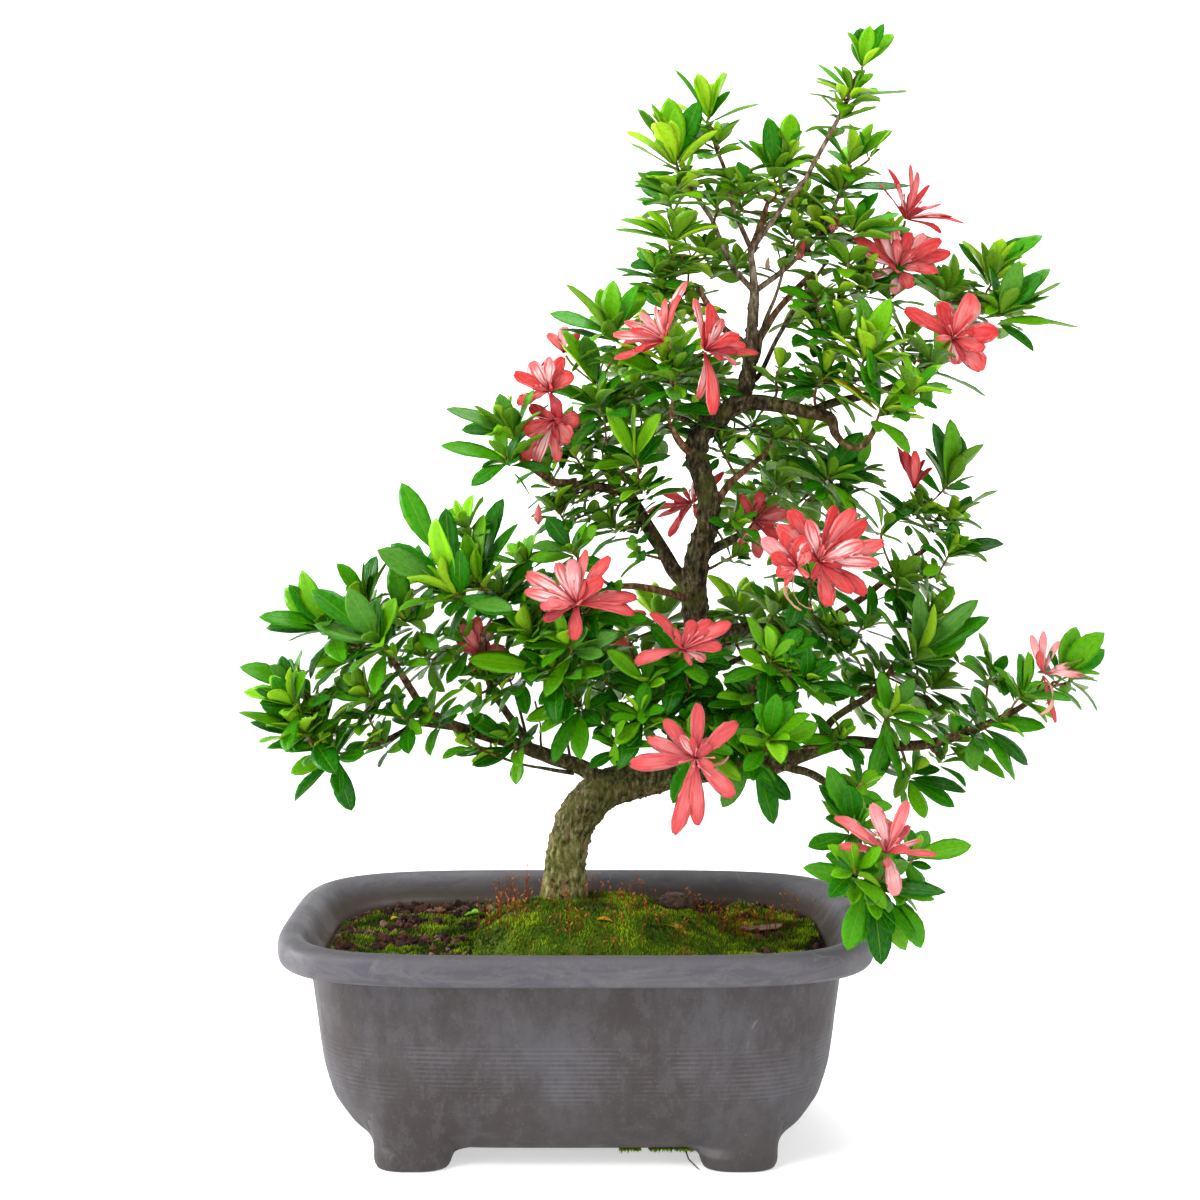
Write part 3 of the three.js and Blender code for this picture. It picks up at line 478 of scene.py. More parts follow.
def tip_leaf(shell, wood, rng, centre, axis, kind, tip):
    """One leaf that stands out, to the spot that its tip gives, on a stalk if that is too far off for
    one leaf. Returns the way that it points."""
    lean = tip[2] if len(tip) > 2 else rng.uniform(-14, 8)
    end = at(tip[0], tip[1], (centre.y - POT_MIDDLE.y) / MM + lean)
    along = end - centre
    reach = along.length
    along.normalize()
    up = axis + FRONT * rng.uniform(0.2, 1.0) + UP * 0.3
    age = tip[3] if len(tip) > 3 else rng.choice(WHORLS[kind][0][3])
    size = min(reach, LEAF_LONGEST)
    base = end - along * size
    if reach > LEAF_LONGEST:
        middle = centre + (base - centre) * 0.5 + UP * STALK_RISE
        line = [centre - along * MM, middle, base + along * MM]
        tube(wood, line, STALK_RADII, 6, shades=[0.9, 1.0, 1.0])
    else:
        down = 3.2 - 4.2 * along.dot(axis) + rng.uniform(-1.5, 1.5)
        base = centre + along * LEAF_OFF - axis * max(down, 0) * MM
        along = (end - base).normalized()
        size = (end - base).length
    bend = rng.uniform(-0.05, 0.45)
    start, up = aimed(along, up, bend)
    leaf(shell, rng, base, start, up, size, age, bend=bend)
    return along


def whorl(shell, wood, rng, centre, axis, kind, length, tips=()):
    """Leaves round the end of a shoot: those that stand out, one for each tip, and then the tiers."""
    first = across(axis)
    second = axis.cross(first)
    taken = []
    for tip in tips:
        along = tip_leaf(shell, wood, rng, centre, axis, kind, tip)
        taken.append(math.atan2(along.dot(second), along.dot(first)))
    turn = rng.uniform(0, FULL_TURN)
    for tier, (count, lift, share, ages) in enumerate(WHORLS[kind]):
        for k in range(count):
            angle = turn + FULL_TURN * (k + 0.5 * tier) / count + rng.uniform(-0.25, 0.25)
            near = min((abs(math.remainder(angle - other, FULL_TURN)) for other in taken), default=9)
            if tier < 2 and near < TIER_GAP:
                continue
            out = first * math.cos(angle) + second * math.sin(angle)
            raised = math.radians(lift + rng.uniform(-13, 13))
            along = out * math.cos(raised) + axis * math.sin(raised)
            up = axis * math.cos(raised) - out * math.sin(raised) + UP * 0.15
            size = length * MM * share * rng.uniform(0.8, 1.12)
            place = TIER_PLACES[tier] + rng.uniform(-1.8, 1.8)
            base = centre + out * LEAF_OFF + axis * place * MM
            leaf(shell, rng, base, along, up, size, rng.choice(ages))


PETAL_TILES = {
    "fresh": [(0, 0), (1, 0), (0, 1)],
    "streaked": [(1, 1)],
    "pale": [(0, 2)],
    "red": [(1, 2)],
    "wilted": [(0, 3)],
    "back": (1, 3),
}


def petal(shell, rng, base, along, up, length, width, age, bend):
    """One petal, whose tip ends up straight along."""
    rise = rng.uniform(-0.2, 0.1)
    along, up = aimed(along, up, bend, rise)
    form = {
        "bend": bend,
        "rise": rise,
        "fold": rng.uniform(0.05, 0.4),
        "twist": rng.uniform(-0.45, 0.45),
        "cup": rng.uniform(-0.25, 0.35),
        "wave": rng.uniform(0.08, 0.26),
    }
    back = PETAL_TILES[age][0] if age in ("wilted", "red") else PETAL_TILES["back"]
    tiles = (rng.choice(PETAL_TILES[age]), back)
    blade(shell, "petal", base, along, up, length, width, tiles, form, rng)


STAMEN_SPOT = (0.25, 0.53)
STAMEN_SHARES = (0, 0.35, 0.7, 0.93, 1)
STAMEN_RADII = [0.00032, 0.00028, 0.00024, 0.0006, 0.0004]  # metres


def stamen(shell, rng, base, along, length):
    """A thread with a small round end."""
    bend = across(along) * rng.uniform(-0.3, 0.3)
    line = [base + (along + bend * t) * length * t for t in STAMEN_SHARES]
    tube(shell, line, STAMEN_RADII, 5, spot=STAMEN_SPOT)


# ---------------------------------------------------------------------------
# Materials
# ---------------------------------------------------------------------------

# One colour for each tile of a leaf's map, column by column and row by row.
LEAF_COLORS = [
    (0.004, 0.096, 0.0004), (0.008, 0.126, 0.0004), (0.003, 0.076, 0.0006), (0.012, 0.146, 0.0005),
    (0.018, 0.166, 0.0006), (0.032, 0.212, 0.0008), (0.050, 0.252, 0.0008), (0.062, 0.205, 0.0200),
    (0.078, 0.282, 0.0015), (0.098, 0.312, 0.0015), (0.118, 0.375, 0.0040), (0.145, 0.430, 0.0060),
    (0.195, 0.480, 0.0100), (0.50, 0.22, 0.010), (0.095, 0.215, 0.0120), (0.250, 0.450, 0.0150),
]
PETAL_COLORS = [
    (0.56, 0.040, 0.038), (0.61, 0.062, 0.060), (0.48, 0.027, 0.026), (0.60, 0.075, 0.075),
    (0.68, 0.210, 0.215), (0.36, 0.016, 0.026), (0.52, 0.33, 0.19), (0.56, 0.066, 0.064),
]
# How far the white streaks cover each petal tile. The last two tiles share one number.
PETAL_WHITES = (0.14, 0.26, 0.06, 0.88, 0.55, 0.06, 0.2)


def tile_color(paint, colors, columns, rows):
    """Gives the paint the colour of the tile that a blade's map lies in. Returns the tile's share of
    the list, the place along the blade and how far that place is off its middle."""
    u, v, _ = paint.split(paint.uv())
    wide = paint.times(u, columns)
    high = paint.times(v, rows)
    index = paint.math("MULTIPLY_ADD", paint.math("FLOOR", high), columns, paint.math("FLOOR", wide))
    share = paint.math("DIVIDE", paint.math("ADD", index, 0.5), columns * rows)
    paint.tone = paint.ramp(share, [(k / len(colors), color) for k, color in enumerate(colors)], "CONSTANT")
    off = paint.math("ABSOLUTE", paint.math("SUBTRACT", paint.math("FRACT", high), 0.5))
    return share, paint.math("FRACT", wide), off


def leaf_paint():
    """The colour of the leaf's tile, with a paler midrib and side veins, and painted light high in the crown.
    """
    paint = Paint("leaf", 0.36, Specular_IOR_Level=0.1, Subsurface_Weight=0.12,
                  Subsurface_Radius=(0.0006, 0.0016, 0.0003), Subsurface_Scale=1.0)
    _, along, off = tile_color(paint, LEAF_COLORS, *TILES["leaf"])
    mottle = paint.noise(3.0, 4, 0.6, paint.on_map(10, 16))
    paint.tint(mottle, 0.4, 0.8, (0.070, 0.26, 0.001), 0.25)
    paint.tint(mottle, 0.6, 0.25, (0.50, 0.62, 0.60), 0.6, "MULTIPLY")
    # Painted light: leaves high in the crown are made brighter.
    paint.tint(paint.height(), 0.34, 0.50, (1.6, 1.42, 1.2), 0.8, "MULTIPLY")
    veins = paint.math("SINE", paint.times(paint.math("MULTIPLY_ADD", off, -1.1, along), 62))
    side_vein = paint.times(paint.rise(veins, 0.75, 1.0, 0.0, 0.14), paint.rise(off, 0.42, 0.2))
    paint.lay(side_vein, (0.12, 0.27, 0.02))
    paint.tint(off, 0.035, 0.010, (0.17, 0.34, 0.01), 0.34)
    paint.tint(along, 0.14, 0.03, (0.22, 0.30, 0.02), 0.5)
    paint.bump(veins, 0.00006, 0.5)
    paint.bump(paint.rise(off, 0.0, 0.09), 0.0002, 0.6)
    return paint.done(mottle, 0.3, 0.7, 0.24, 0.40)


def petal_paint():
    """Coral, darker to the throat, with white streaks down the middle and pale edges."""
    paint = Paint("petal", 0.55, Specular_IOR_Level=0.06, Subsurface_Weight=0.2,
                  Subsurface_Radius=(0.003, 0.0008, 0.0008), Subsurface_Scale=1.0)
    share, along, off = tile_color(paint, PETAL_COLORS, *TILES["petal"])
    lines = paint.noise(2.0, 4, 0.6, paint.on_map(3, 60))
    blotch = paint.noise(2.0, 3, 0.55, paint.on_map(5, 14))
    bands = paint.noise(2.0, 3, 0.5, paint.on_map(2, 14))
    paint.tint(blotch, 0.48, 0.62, (0.70, 0.130, 0.128), 0.35)
    paint.tint(along, 0.45, 0.12, (0.42, 0.012, 0.022), 0.75)
    paint.tint(lines, 0.47, 0.38, (0.44, 0.026, 0.028), 0.3)
    paint.tint(off, 0.37, 0.45, (0.72, 0.20, 0.20), 0.3)
    streak = paint.times(paint.rise(bands, 0.46, 0.56), paint.rise(along, 1.0, 0.55))
    middle = paint.times(paint.rise(off, 0.24, 0.05), paint.rise(along, 0.92, 0.45))
    middle = paint.times(middle, paint.rise(lines, 0.40, 0.52, 0.4, 1.0))
    streak = paint.times(paint.math("MAXIMUM", streak, middle), paint.rise(along, 0.12, 0.34))
    stops = [(k / len(PETAL_COLORS), (white,) * 3) for k, white in enumerate(PETAL_WHITES)]
    paint.lay(paint.times(streak, paint.ramp(share, stops, "CONSTANT")), (0.90, 0.66, 0.64))
    paint.tint(along, 0.10, 0.02, (0.62, 0.24, 0.12), 0.5)
    paint.tint(paint.height(), 0.33, 0.22, (0.62, 0.22, 0.24), 0.16)
    paint.bump(lines, 0.00007, 0.4)
    return paint.done(blotch, 0.3, 0.7, 0.45, 0.65)


def bark_paint():
    """Flaky olive bark low down, painted shade and moss higher up, brown shoots that end in green."""
    paint = Paint("bark", 0.85, Specular_IOR_Level=0.12)
    height, shade = paint.height(), paint.shade()
    grain = paint.noise(430, 5, 0.7, paint.place((1, 1, 0.45)))
    flakes = paint.cells(420, paint.place((1, 1, 0.5)))
    warm = paint.noise(170, 3, 0.6, paint.place((1, 1, 0.5)))
    blotch = paint.noise(60, 4, 0.6)
    low = paint.ramp(grain, [(0.38, (0.026, 0.024, 0.006)), (0.46, (0.105, 0.098, 0.028)),
                             (0.54, (0.190, 0.182, 0.062)), (0.64, (0.350, 0.330, 0.150))])
    # The same grain darker: painted shade for the bark inside the crown.
    high = paint.ramp(grain, [(0.38, (0.007, 0.005, 0.002)), (0.48, (0.026, 0.019, 0.008)),
                              (0.58, (0.070, 0.053, 0.024)), (0.68, (0.15, 0.125, 0.065))])
    slim = paint.ramp(grain, [(0.38, (0.045, 0.030, 0.018)), (0.5, (0.150, 0.108, 0.070)),
                              (0.62, (0.30, 0.24, 0.17))])
    young = paint.ramp(grain, [(0.4, (0.055, 0.024, 0.010)), (0.52, (0.150, 0.072, 0.032)),
                               (0.62, (0.27, 0.15, 0.075))])
    green = paint.ramp(grain, [(0.4, (0.15, 0.15, 0.012)), (0.6, (0.28, 0.27, 0.04))])
    high = paint.mix(paint.rise(blotch, 0.5, 0.62, 0.0, 0.6), high, (0.050, 0.056, 0.006))
    paint.tone = low
    paint.tint(warm, 0.54, 0.62, (0.26, 0.155, 0.085), 0.6)
    paint.tint(blotch, 0.5, 0.62, (0.085, 0.092, 0.014), 0.45)
    # Painted shade: from the trunk's bend up, inside the crown, the bark takes the darker copy.
    paint.tint(height, 0.140, 0.172, paint.mix(0.62, paint.tone, high))
    paint.tint(height, 0.178, 0.210, high)
    paint.tint(height, 0.395, 0.440, slim, 0.9)
    paint.tint(shade, 0.05, 0.5, young)
    paint.tint(shade, 0.86, 1.0, green, 0.8)
    paint.bump(flakes, 0.0007, 0.8)
    paint.bump(grain, 0.0010, 0.9)
    return paint.done(grain, 0.4, 0.6, 0.92, 0.72)


def pot_paint():
    """Weathered grey plastic: paler smudged rim, ribs with dust and painted sheen, scuffs, streaks and
    specks.
    """
    paint = Paint("pot", 0.6, Specular_IOR_Level=0.2)
    height = paint.height()
    cloud = paint.noise(11, 4, 0.6)
    run = paint.noise(46, 5, 0.62, paint.place((1, 1, 0.14)))
    dust = paint.noise(24, 6, 0.68, paint.place((1, 1, 0.8)))
    mottle = paint.noise(130, 8, 0.72, paint.place((1, 1, 0.55)))
    speck = paint.noise(900, 3, 0.7)
    paint.tone = paint.ramp(cloud, [(0.38, (0.043, 0.036, 0.035)), (0.5, (0.054, 0.047, 0.048)),
                                    (0.62, (0.064, 0.060, 0.066))])
    paint.tint(run, 0.48, 0.64, (0.086, 0.080, 0.088), 0.35)
    paint.tint(run, 0.46, 0.34, (0.045, 0.036, 0.034), 0.30)
    paint.tint(dust, 0.5, 0.64, (0.090, 0.087, 0.098), 0.3)
    paint.tint(mottle, 0.51, 0.60, (0.092, 0.087, 0.094), 0.3)
    paint.tint(mottle, 0.49, 0.40, (0.038, 0.032, 0.031), 0.35)
    lay_rib_dust_and_sheen(paint, height, dust)
    # Darker towards the bottom of the wall.
    darker_low = paint.times(paint.rise(height, 0.045, 0.006), paint.rise(cloud, 0.4, 0.58, 0.2, 0.65))
    paint.lay(darker_low, (0.047, 0.041, 0.038))
    lay_rim(paint, height)
    lay_scuffs(paint, height, dust)
    paint.tint(speck, 0.64, 0.70, (0.20, 0.19, 0.20), 0.35)
    # Painted shade on the inner wall, in the brown of clinging soil.
    paint.lay(paint.times(paint.shade(), 0.95), (0.036, 0.025, 0.018))
    paint.bump(paint.noise(260, 5, 0.6), 0.00022, 0.5)
    paint.bump(speck, 0.00006, 0.6)
    return paint.done(run, 0.4, 0.6, 0.5, 0.68)


def lay_rib_dust_and_sheen(paint, height, dust):
    """Pale dust and a painted sheen on the crests of the pot's fine ribs."""
    ribbed = paint.times(paint.rise(height, 0.034, 0.040), paint.rise(height, 0.069, 0.063))
    ribs = paint.math("SINE", paint.times(height, FULL_TURN / (RIB_PITCH * MM)))
    dust_and_sheen = paint.times(paint.rise(ribs, -0.2, 0.9), paint.rise(dust, 0.42, 0.58, 0.0, 0.4))
    # Pale dust, partly a painted sheen, on the ribs.
    paint.lay(paint.times(ribbed, dust_and_sheen), (0.110, 0.106, 0.122))


def lay_rim(paint, height):
    """The paler rim, with dark smudges on its side and chalk all over it."""
    stain = paint.noise(34, 9, 0.74, paint.place((1, 1, 3.2)), 1.2)
    rim = paint.rise(height, 0.0975, 0.101, 0.0, 0.75)
    paint.lay(rim, (0.103, 0.099, 0.111))
    band = paint.times(rim, paint.rise(height, 0.1125, 0.1095))
    paint.lay(paint.times(paint.rise(stain, 0.47, 0.60, 0.0, 0.85), band), (0.058, 0.054, 0.070))
    paint.lay(paint.times(paint.rise(stain, 0.47, 0.38, 0.0, 0.3), rim), (0.150, 0.147, 0.162))


def lay_scuffs(paint, height, dust):
    """Chalky scuffs and thin bent scratches on the wall, and a line of lime on the feet."""
    chalk = paint.noise(26, 8, 0.8, paint.place((1, 1, 0.6)), 2.2)
    bends = paint.noise(13, 3, 0.5, paint.place((1, 1, 0.8)), 1.4)
    scuff = paint.times(paint.rise(chalk, 0.58, 0.66, 0.0, 0.35), paint.rise(height, 0.05, 0.085))
    paint.lay(scuff, (0.16, 0.16, 0.18))
    arc = paint.times(paint.rise(bends, 0.516, 0.520), paint.rise(bends, 0.526, 0.521))
    arc = paint.times(arc, paint.rise(chalk, 0.48, 0.60, 0.0, 0.4))
    paint.lay(paint.times(arc, paint.rise(height, 0.050, 0.070)), (0.19, 0.19, 0.21))
    foot_line = paint.times(paint.rise(height, 0.006, 0.008), paint.rise(height, 0.013, 0.010))
    paint.lay(paint.times(foot_line, paint.rise(dust, 0.46, 0.62, 0.0, 0.35)), (0.20, 0.19, 0.19))


def crumb_paint(name, stops, scale):
    """Broken mineral crumbs, each of its own tone."""
    paint = Paint(name, 0.92, Specular_IOR_Level=0.12)
    grain = paint.noise(scale, 5, 0.7)
    paint.tone = paint.ramp(paint.shade(), stops)
    paint.tint(grain, 0.58, 0.32, (0.014, 0.008, 0.005), 0.75)
    paint.tint(grain, 0.6, 0.8, (0.24, 0.13, 0.08), 0.4)
    paint.bump(grain, 0.0006, 0.8)
    return paint.done(grain, 0.3, 0.7, 0.95, 0.8)


def soil_paint():
    """Dark fine soil with a breath of green."""
    paint = Paint("soil", 0.95, Specular_IOR_Level=0.12)
    grain = paint.noise(420, 6, 0.7)
    paint.tone = paint.ramp(grain, [(0.3, (0.012, 0.009, 0.007)), (0.55, (0.045, 0.030, 0.022)),
                                    (0.75, (0.13, 0.075, 0.05))])
    paint.tint(paint.noise(45, 4, 0.6), 0.45, 0.65, (0.04, 0.05, 0.012), 0.5)
    paint.bump(grain, 0.001, 0.9)
    return paint.done(grain, 0.3, 0.7, 0.98, 0.85)


def moss_paint():
    """Velvet green, dark down between the shoots, browned in patches."""
    paint = Paint("moss", 0.8, Specular_IOR_Level=0.15)
    shade = paint.shade()
    patch = paint.noise(42, 5, 0.65)
    paint.tone = paint.ramp(shade, [(0.0, (0.008, 0.016, 0.001)), (0.3, (0.060, 0.110, 0.001)),
                                    (0.55, (0.190, 0.310, 0.003)), (0.8, (0.380, 0.520, 0.006)),
                                    (1.0, (0.600, 0.700, 0.040))])
    brown = paint.times(paint.rise(patch, 0.57, 0.63, 0.0, 0.7), paint.rise(shade, 0.15, 0.6, 0.4, 1.0))
    paint.lay(brown, (0.20, 0.085, 0.010))
    paint.tint(patch, 0.46, 0.38, (0.030, 0.085, 0.002), 0.6)
    return paint.done(patch, 0.3, 0.7, 0.88, 0.7)


def grain_paint(name, stops, scale, stretch, rough, depth):
    """A dry surface coloured by one stretched grain."""
    paint = Paint(name, rough[0])
    grain = paint.noise(scale, 5, 0.65, paint.place(stretch))
    paint.tone = paint.ramp(grain, stops)
    paint.bump(grain, depth, 0.8)
    return paint.done(grain, 0.3, 0.7, *rough)


EVEN = (1, 1, 1)
LEAF = leaf_paint()
PETAL = petal_paint()
BARK = bark_paint()
POT = pot_paint()
SOIL = soil_paint()
MOSS = moss_paint()
GRIT = crumb_paint("grit", [(0.0, (0.014, 0.009, 0.007)), (0.35, (0.036, 0.018, 0.012)),
                            (0.6, (0.090, 0.030, 0.018)), (0.78, (0.050, 0.034, 0.024)),
                            (0.93, (0.170, 0.078, 0.048)), (1.0, (0.27, 0.18, 0.13))], 900)
SPORE = crumb_paint("spore", [(0.0, (0.16, 0.030, 0.006)), (0.4, (0.34, 0.080, 0.012)),
                              (1.0, (0.68, 0.28, 0.06))], 500)
ROCK = grain_paint("rock", [(0.3, (0.014, 0.007, 0.005)), (0.5, (0.055, 0.030, 0.020)),
                            (0.75, (0.12, 0.075, 0.055))], 320, EVEN, (0.95, 0.8), 0.0008)
CHIP = grain_paint("chip", [(0.3, (0.05, 0.028, 0.016)), (0.5, (0.17, 0.10, 0.06)),
                            (0.75, (0.34, 0.24, 0.16))], 500, (0.2, 1, 1), (0.9, 0.75), 0.0005)
SCREEN_PLASTIC = grain_paint("screen", [(0.3, (0.008, 0.008, 0.009)), (0.7, (0.025, 0.025, 0.027))],
                             700, EVEN, (0.6, 0.45), 0.0001)
STUDIO_WHITE = [(0.2, (0.80, 0.80, 0.80)), (0.8, (0.83, 0.83, 0.83))]
FLOOR = grain_paint("floor", STUDIO_WHITE, 3, EVEN, (0.9, 0.85), 0.0)
WALL = grain_paint("wall", STUDIO_WHITE, 3, EVEN, (0.9, 0.85), 0.0)

# ---------------------------------------------------------------------------
# Lists: wood, as in the CAD model
# ---------------------------------------------------------------------------

# Wood lines: x, z, y and thickness.
TRUNK = [
    (-6, 70, 0, 32), (-6.5, 98, 0, 30), (-7, 116, 0, 26), (-7, 132, 0, 22.5), (-4.5, 150, 0, 21.5),
    (1.6, 165.3, 0, 22.4), (13.6, 177.2, 0, 22.2), (30.5, 182.6, 0, 21), (46, 186.5, 0, 18.6),
    (58, 197, 0, 16.2), (64, 213, 2, 15), (65.5, 234, 4, 14.5), (63, 257, 4, 14), (61, 277, 3, 14),
    (62.5, 298, 0, 13.5),
    (68, 318, -2, 13), (67, 334, -2, 12.5), (61.5, 351, 0, 12), (65, 364, 2, 11.5), (77, 374, 4, 11),
    (87, 386, 5, 9.5), (89.5, 404, 5, 8), (90.5, 418, 4, 6.8), (91, 430, 3.5, 6),
]
BRANCHES = {
    "branch_left_low": [
        [(20, 180, 0, 12), (13, 178, 0, 11), (6, 187, -3, 9.5), (-4, 191.5, -6, 8.5), (-12, 194, -8, 8),
         (-24, 198.5, -11, 7.5), (-36, 203, -15, 7), (-49, 206.5, -21, 6.5), (-61, 210, -28, 6),
         (-72, 214.5, -34, 5), (-80, 220.5, -40, 4.5), (-86, 229, -46, 4), (-92, 239, -53, 3.5),
         (-99, 250, -58, 3)],
        [(-61, 210, -28, 4.4), (-73, 211.5, -34, 3.8), (-84, 212, -40, 3.5), (-92, 207.5, -46, 3.2),
         (-101, 203, -52, 3), (-113, 199, -56, 2.8), (-123, 196, -60, 2.6)],
        [(-24, 198.5, -11, 5), (-31, 210, -8, 4.6), (-38, 220, -12, 4.2), (-45, 231, -20, 3.8),
         (-48, 245, -30, 3.4), (-49, 259, -40, 3)],
        [(-2, 186, -8, 2.6), (-11.3, 187.6, -14, 2.2), (-19.5, 189, -19, 1.9), (-27.6, 190.4, -23, 1.7),
         (-37, 193.4, -28, 1.6), (-43, 195.6, -33, 1.5), (-51, 199, -40, 1.4), (-58, 205, -46, 1.2)],
        [(-18, 196, -10, 2), (-19, 203, -6, 1.5), (-19.2, 212, -4, 1.3), (-22, 224, -4, 1.2)],
        [(-3, 190, -6, 2), (-5, 202, -2, 1.6), (-8, 216, 0, 1.4), (-6, 232, 2, 1.2)],
        [(-25, 198, -14, 2.2), (-27, 208, -16, 1.8), (-31, 223, -20, 1.6), (-36, 238, -24, 1.3)],
    ],
    "branch_left_upper": [
        [(61, 276, 3, 9), (56, 286, 5, 9), (50, 293, 8, 8.5), (45, 302, 10, 8), (38, 313, 12, 7.5),
         (31, 325, 13, 7), (26, 332, 13, 6.5), (18, 334.5, 11, 5.5), (8, 336, 8, 5), (-3, 337.5, 4, 4.5),
         (-12, 338.5, -2, 4), (-20, 343, -10, 3.5), (-28, 349, -18, 3)],
    ],
    "branch_right_low": [
        [(40, 186, 0, 13), (46, 187, 0, 14), (58, 187, -6, 14), (74, 188, -10, 13), (90, 189, -13, 12),
         (104, 191, -16, 10.5), (117, 196, -18, 9), (130, 200.5, -20, 8), (143, 202.5, -22, 7),
         (156, 201.5, -25, 6.5), (170, 200.5, -29, 6), (184, 201.5, -33, 5.5), (196, 205, -36, 5),
         (206, 208.5, -38, 4.5), (216, 212.5, -40, 4), (227, 218, -42, 3.5), (238, 225, -44, 3),
         (247, 231, -45, 2.6)],
        [(130, 200.5, -20, 4.6), (131, 211, -14, 4.4), (141, 219.5, -8, 4), (153, 227, -2, 3.6),
         (161, 236, 2, 3.3), (167, 246, 4, 3)],
        [(104, 191, -16, 5), (113, 188.5, -24, 4.8), (122, 186, -36, 4.4), (130, 181, -50, 4),
         (138, 174, -66, 3.6), (144, 163, -82, 3.3), (148, 149, -97, 3), (151, 137, -107, 2.8)],
    ],
    "branch_right_mid": [
        [(60, 254, 2, 7), (63, 257, 4, 7), (72, 259, 14, 7), (85, 262, 26, 6.5), (98, 262, 34, 6),
         (112, 261, 38, 5.5), (125, 264.5, 38, 5), (138, 271, 34, 4.5), (150, 279, 30, 4),
         (161, 288, 26, 3.5), (172, 297, 23, 3.2), (182, 304, 20, 3)],
    ],
    "branch_right_upper": [
        [(72, 370, 4, 9), (77, 374, 4, 9), (88, 379, 0, 9), (100, 378.5, -4, 8.5), (110, 376.5, -8, 7.5),
         (120, 374, -12, 7), (131, 371, -16, 6.5), (134, 363, -20, 4.5), (139, 357.5, -24, 4),
         (146, 356, -27, 4), (151.5, 361, -30, 3.6), (155, 368, -32, 3.4)],
        [(120, 374, -12, 5), (132, 379, -2, 4.8), (146, 382, 8, 4.4), (160, 386, 16, 4),
         (173, 392, 20, 3.5), (184, 399, 22, 3.2)],
    ],
    "branch_top": [
        [(90.5, 418, 4, 6.4), (91, 426, 3.8, 6), (91.5, 436, 3, 5.2), (90.5, 448, 2.5, 4),
         (90, 457, 2, 3.6), (96, 466, -2, 3.2), (105.5, 479, -5, 3), (116, 491, -8, 2.7),
         (121.5, 501, -9, 2.8), (127.5, 512, -9, 2.6), (133.5, 523, -8, 2.4), (138.5, 533, -7, 2.2),
         (142, 543, -6, 2)],
        [(91.5, 436, 3, 3.4), (86, 442, 2, 3.2), (80, 449, 0, 3), (74, 462, -4, 2.7), (70.5, 471, -7, 2.5),
         (64, 481, -11, 2.3), (58, 489, -14, 2.1), (53, 497, -16, 2)],
        [(90, 457, 2, 3), (86, 466, 1, 2.8), (81, 477, -2, 2.6), (78, 488, -5, 2.4), (76, 498, -7, 2.2),
         (72, 508, -9, 2.1), (69, 517, -10, 2)],
        [(88, 388, 6, 3.4), (94.7, 394, 9, 3), (102.8, 411, 12, 2.6), (113, 428, 14, 2.3),
         (129, 452, 15, 1.8)],
        [(89, 396, 5, 3), (93.5, 403, 6, 2.6), (96.5, 419.5, 8, 2.3), (102.6, 434, 9, 2),
         (108.7, 456, 10, 1.6)],
        [(91.5, 436, 3, 3.6), (97, 440, 8, 3.4), (105, 446, 12, 3.1), (114, 454, 15, 2.8),
         (121, 461, 17, 2.6), (128, 471, 18, 2.4), (133, 481, 18, 2.2), (136, 489, 18, 2)],
    ],
    "branch_back_low": [
        [(64, 213, 2, 7), (58, 220, 24, 6.6), (48, 229, 48, 5.6), (38, 238, 72, 4.4), (30, 246, 92, 3.4)],
        [(48, 229, 48, 4.5), (62, 236, 66, 4), (78, 243, 84, 3.5), (92, 250, 98, 3)],
    ],
    "branch_back_mid": [
        [(62.5, 298, 0, 6.5), (72, 304, 22, 6), (86, 311, 46, 5), (100, 318, 70, 4), (112, 326, 90, 3.2)],
    ],
}
BRANCH_SIDES = 12
BRANCH_SPAN = 6  # points on the smooth line for each listed one
TRUNK_SIDES = 88
TRUNK_SPAN = 18

# ---------------------------------------------------------------------------
# Lists: leafy sprays
# ---------------------------------------------------------------------------

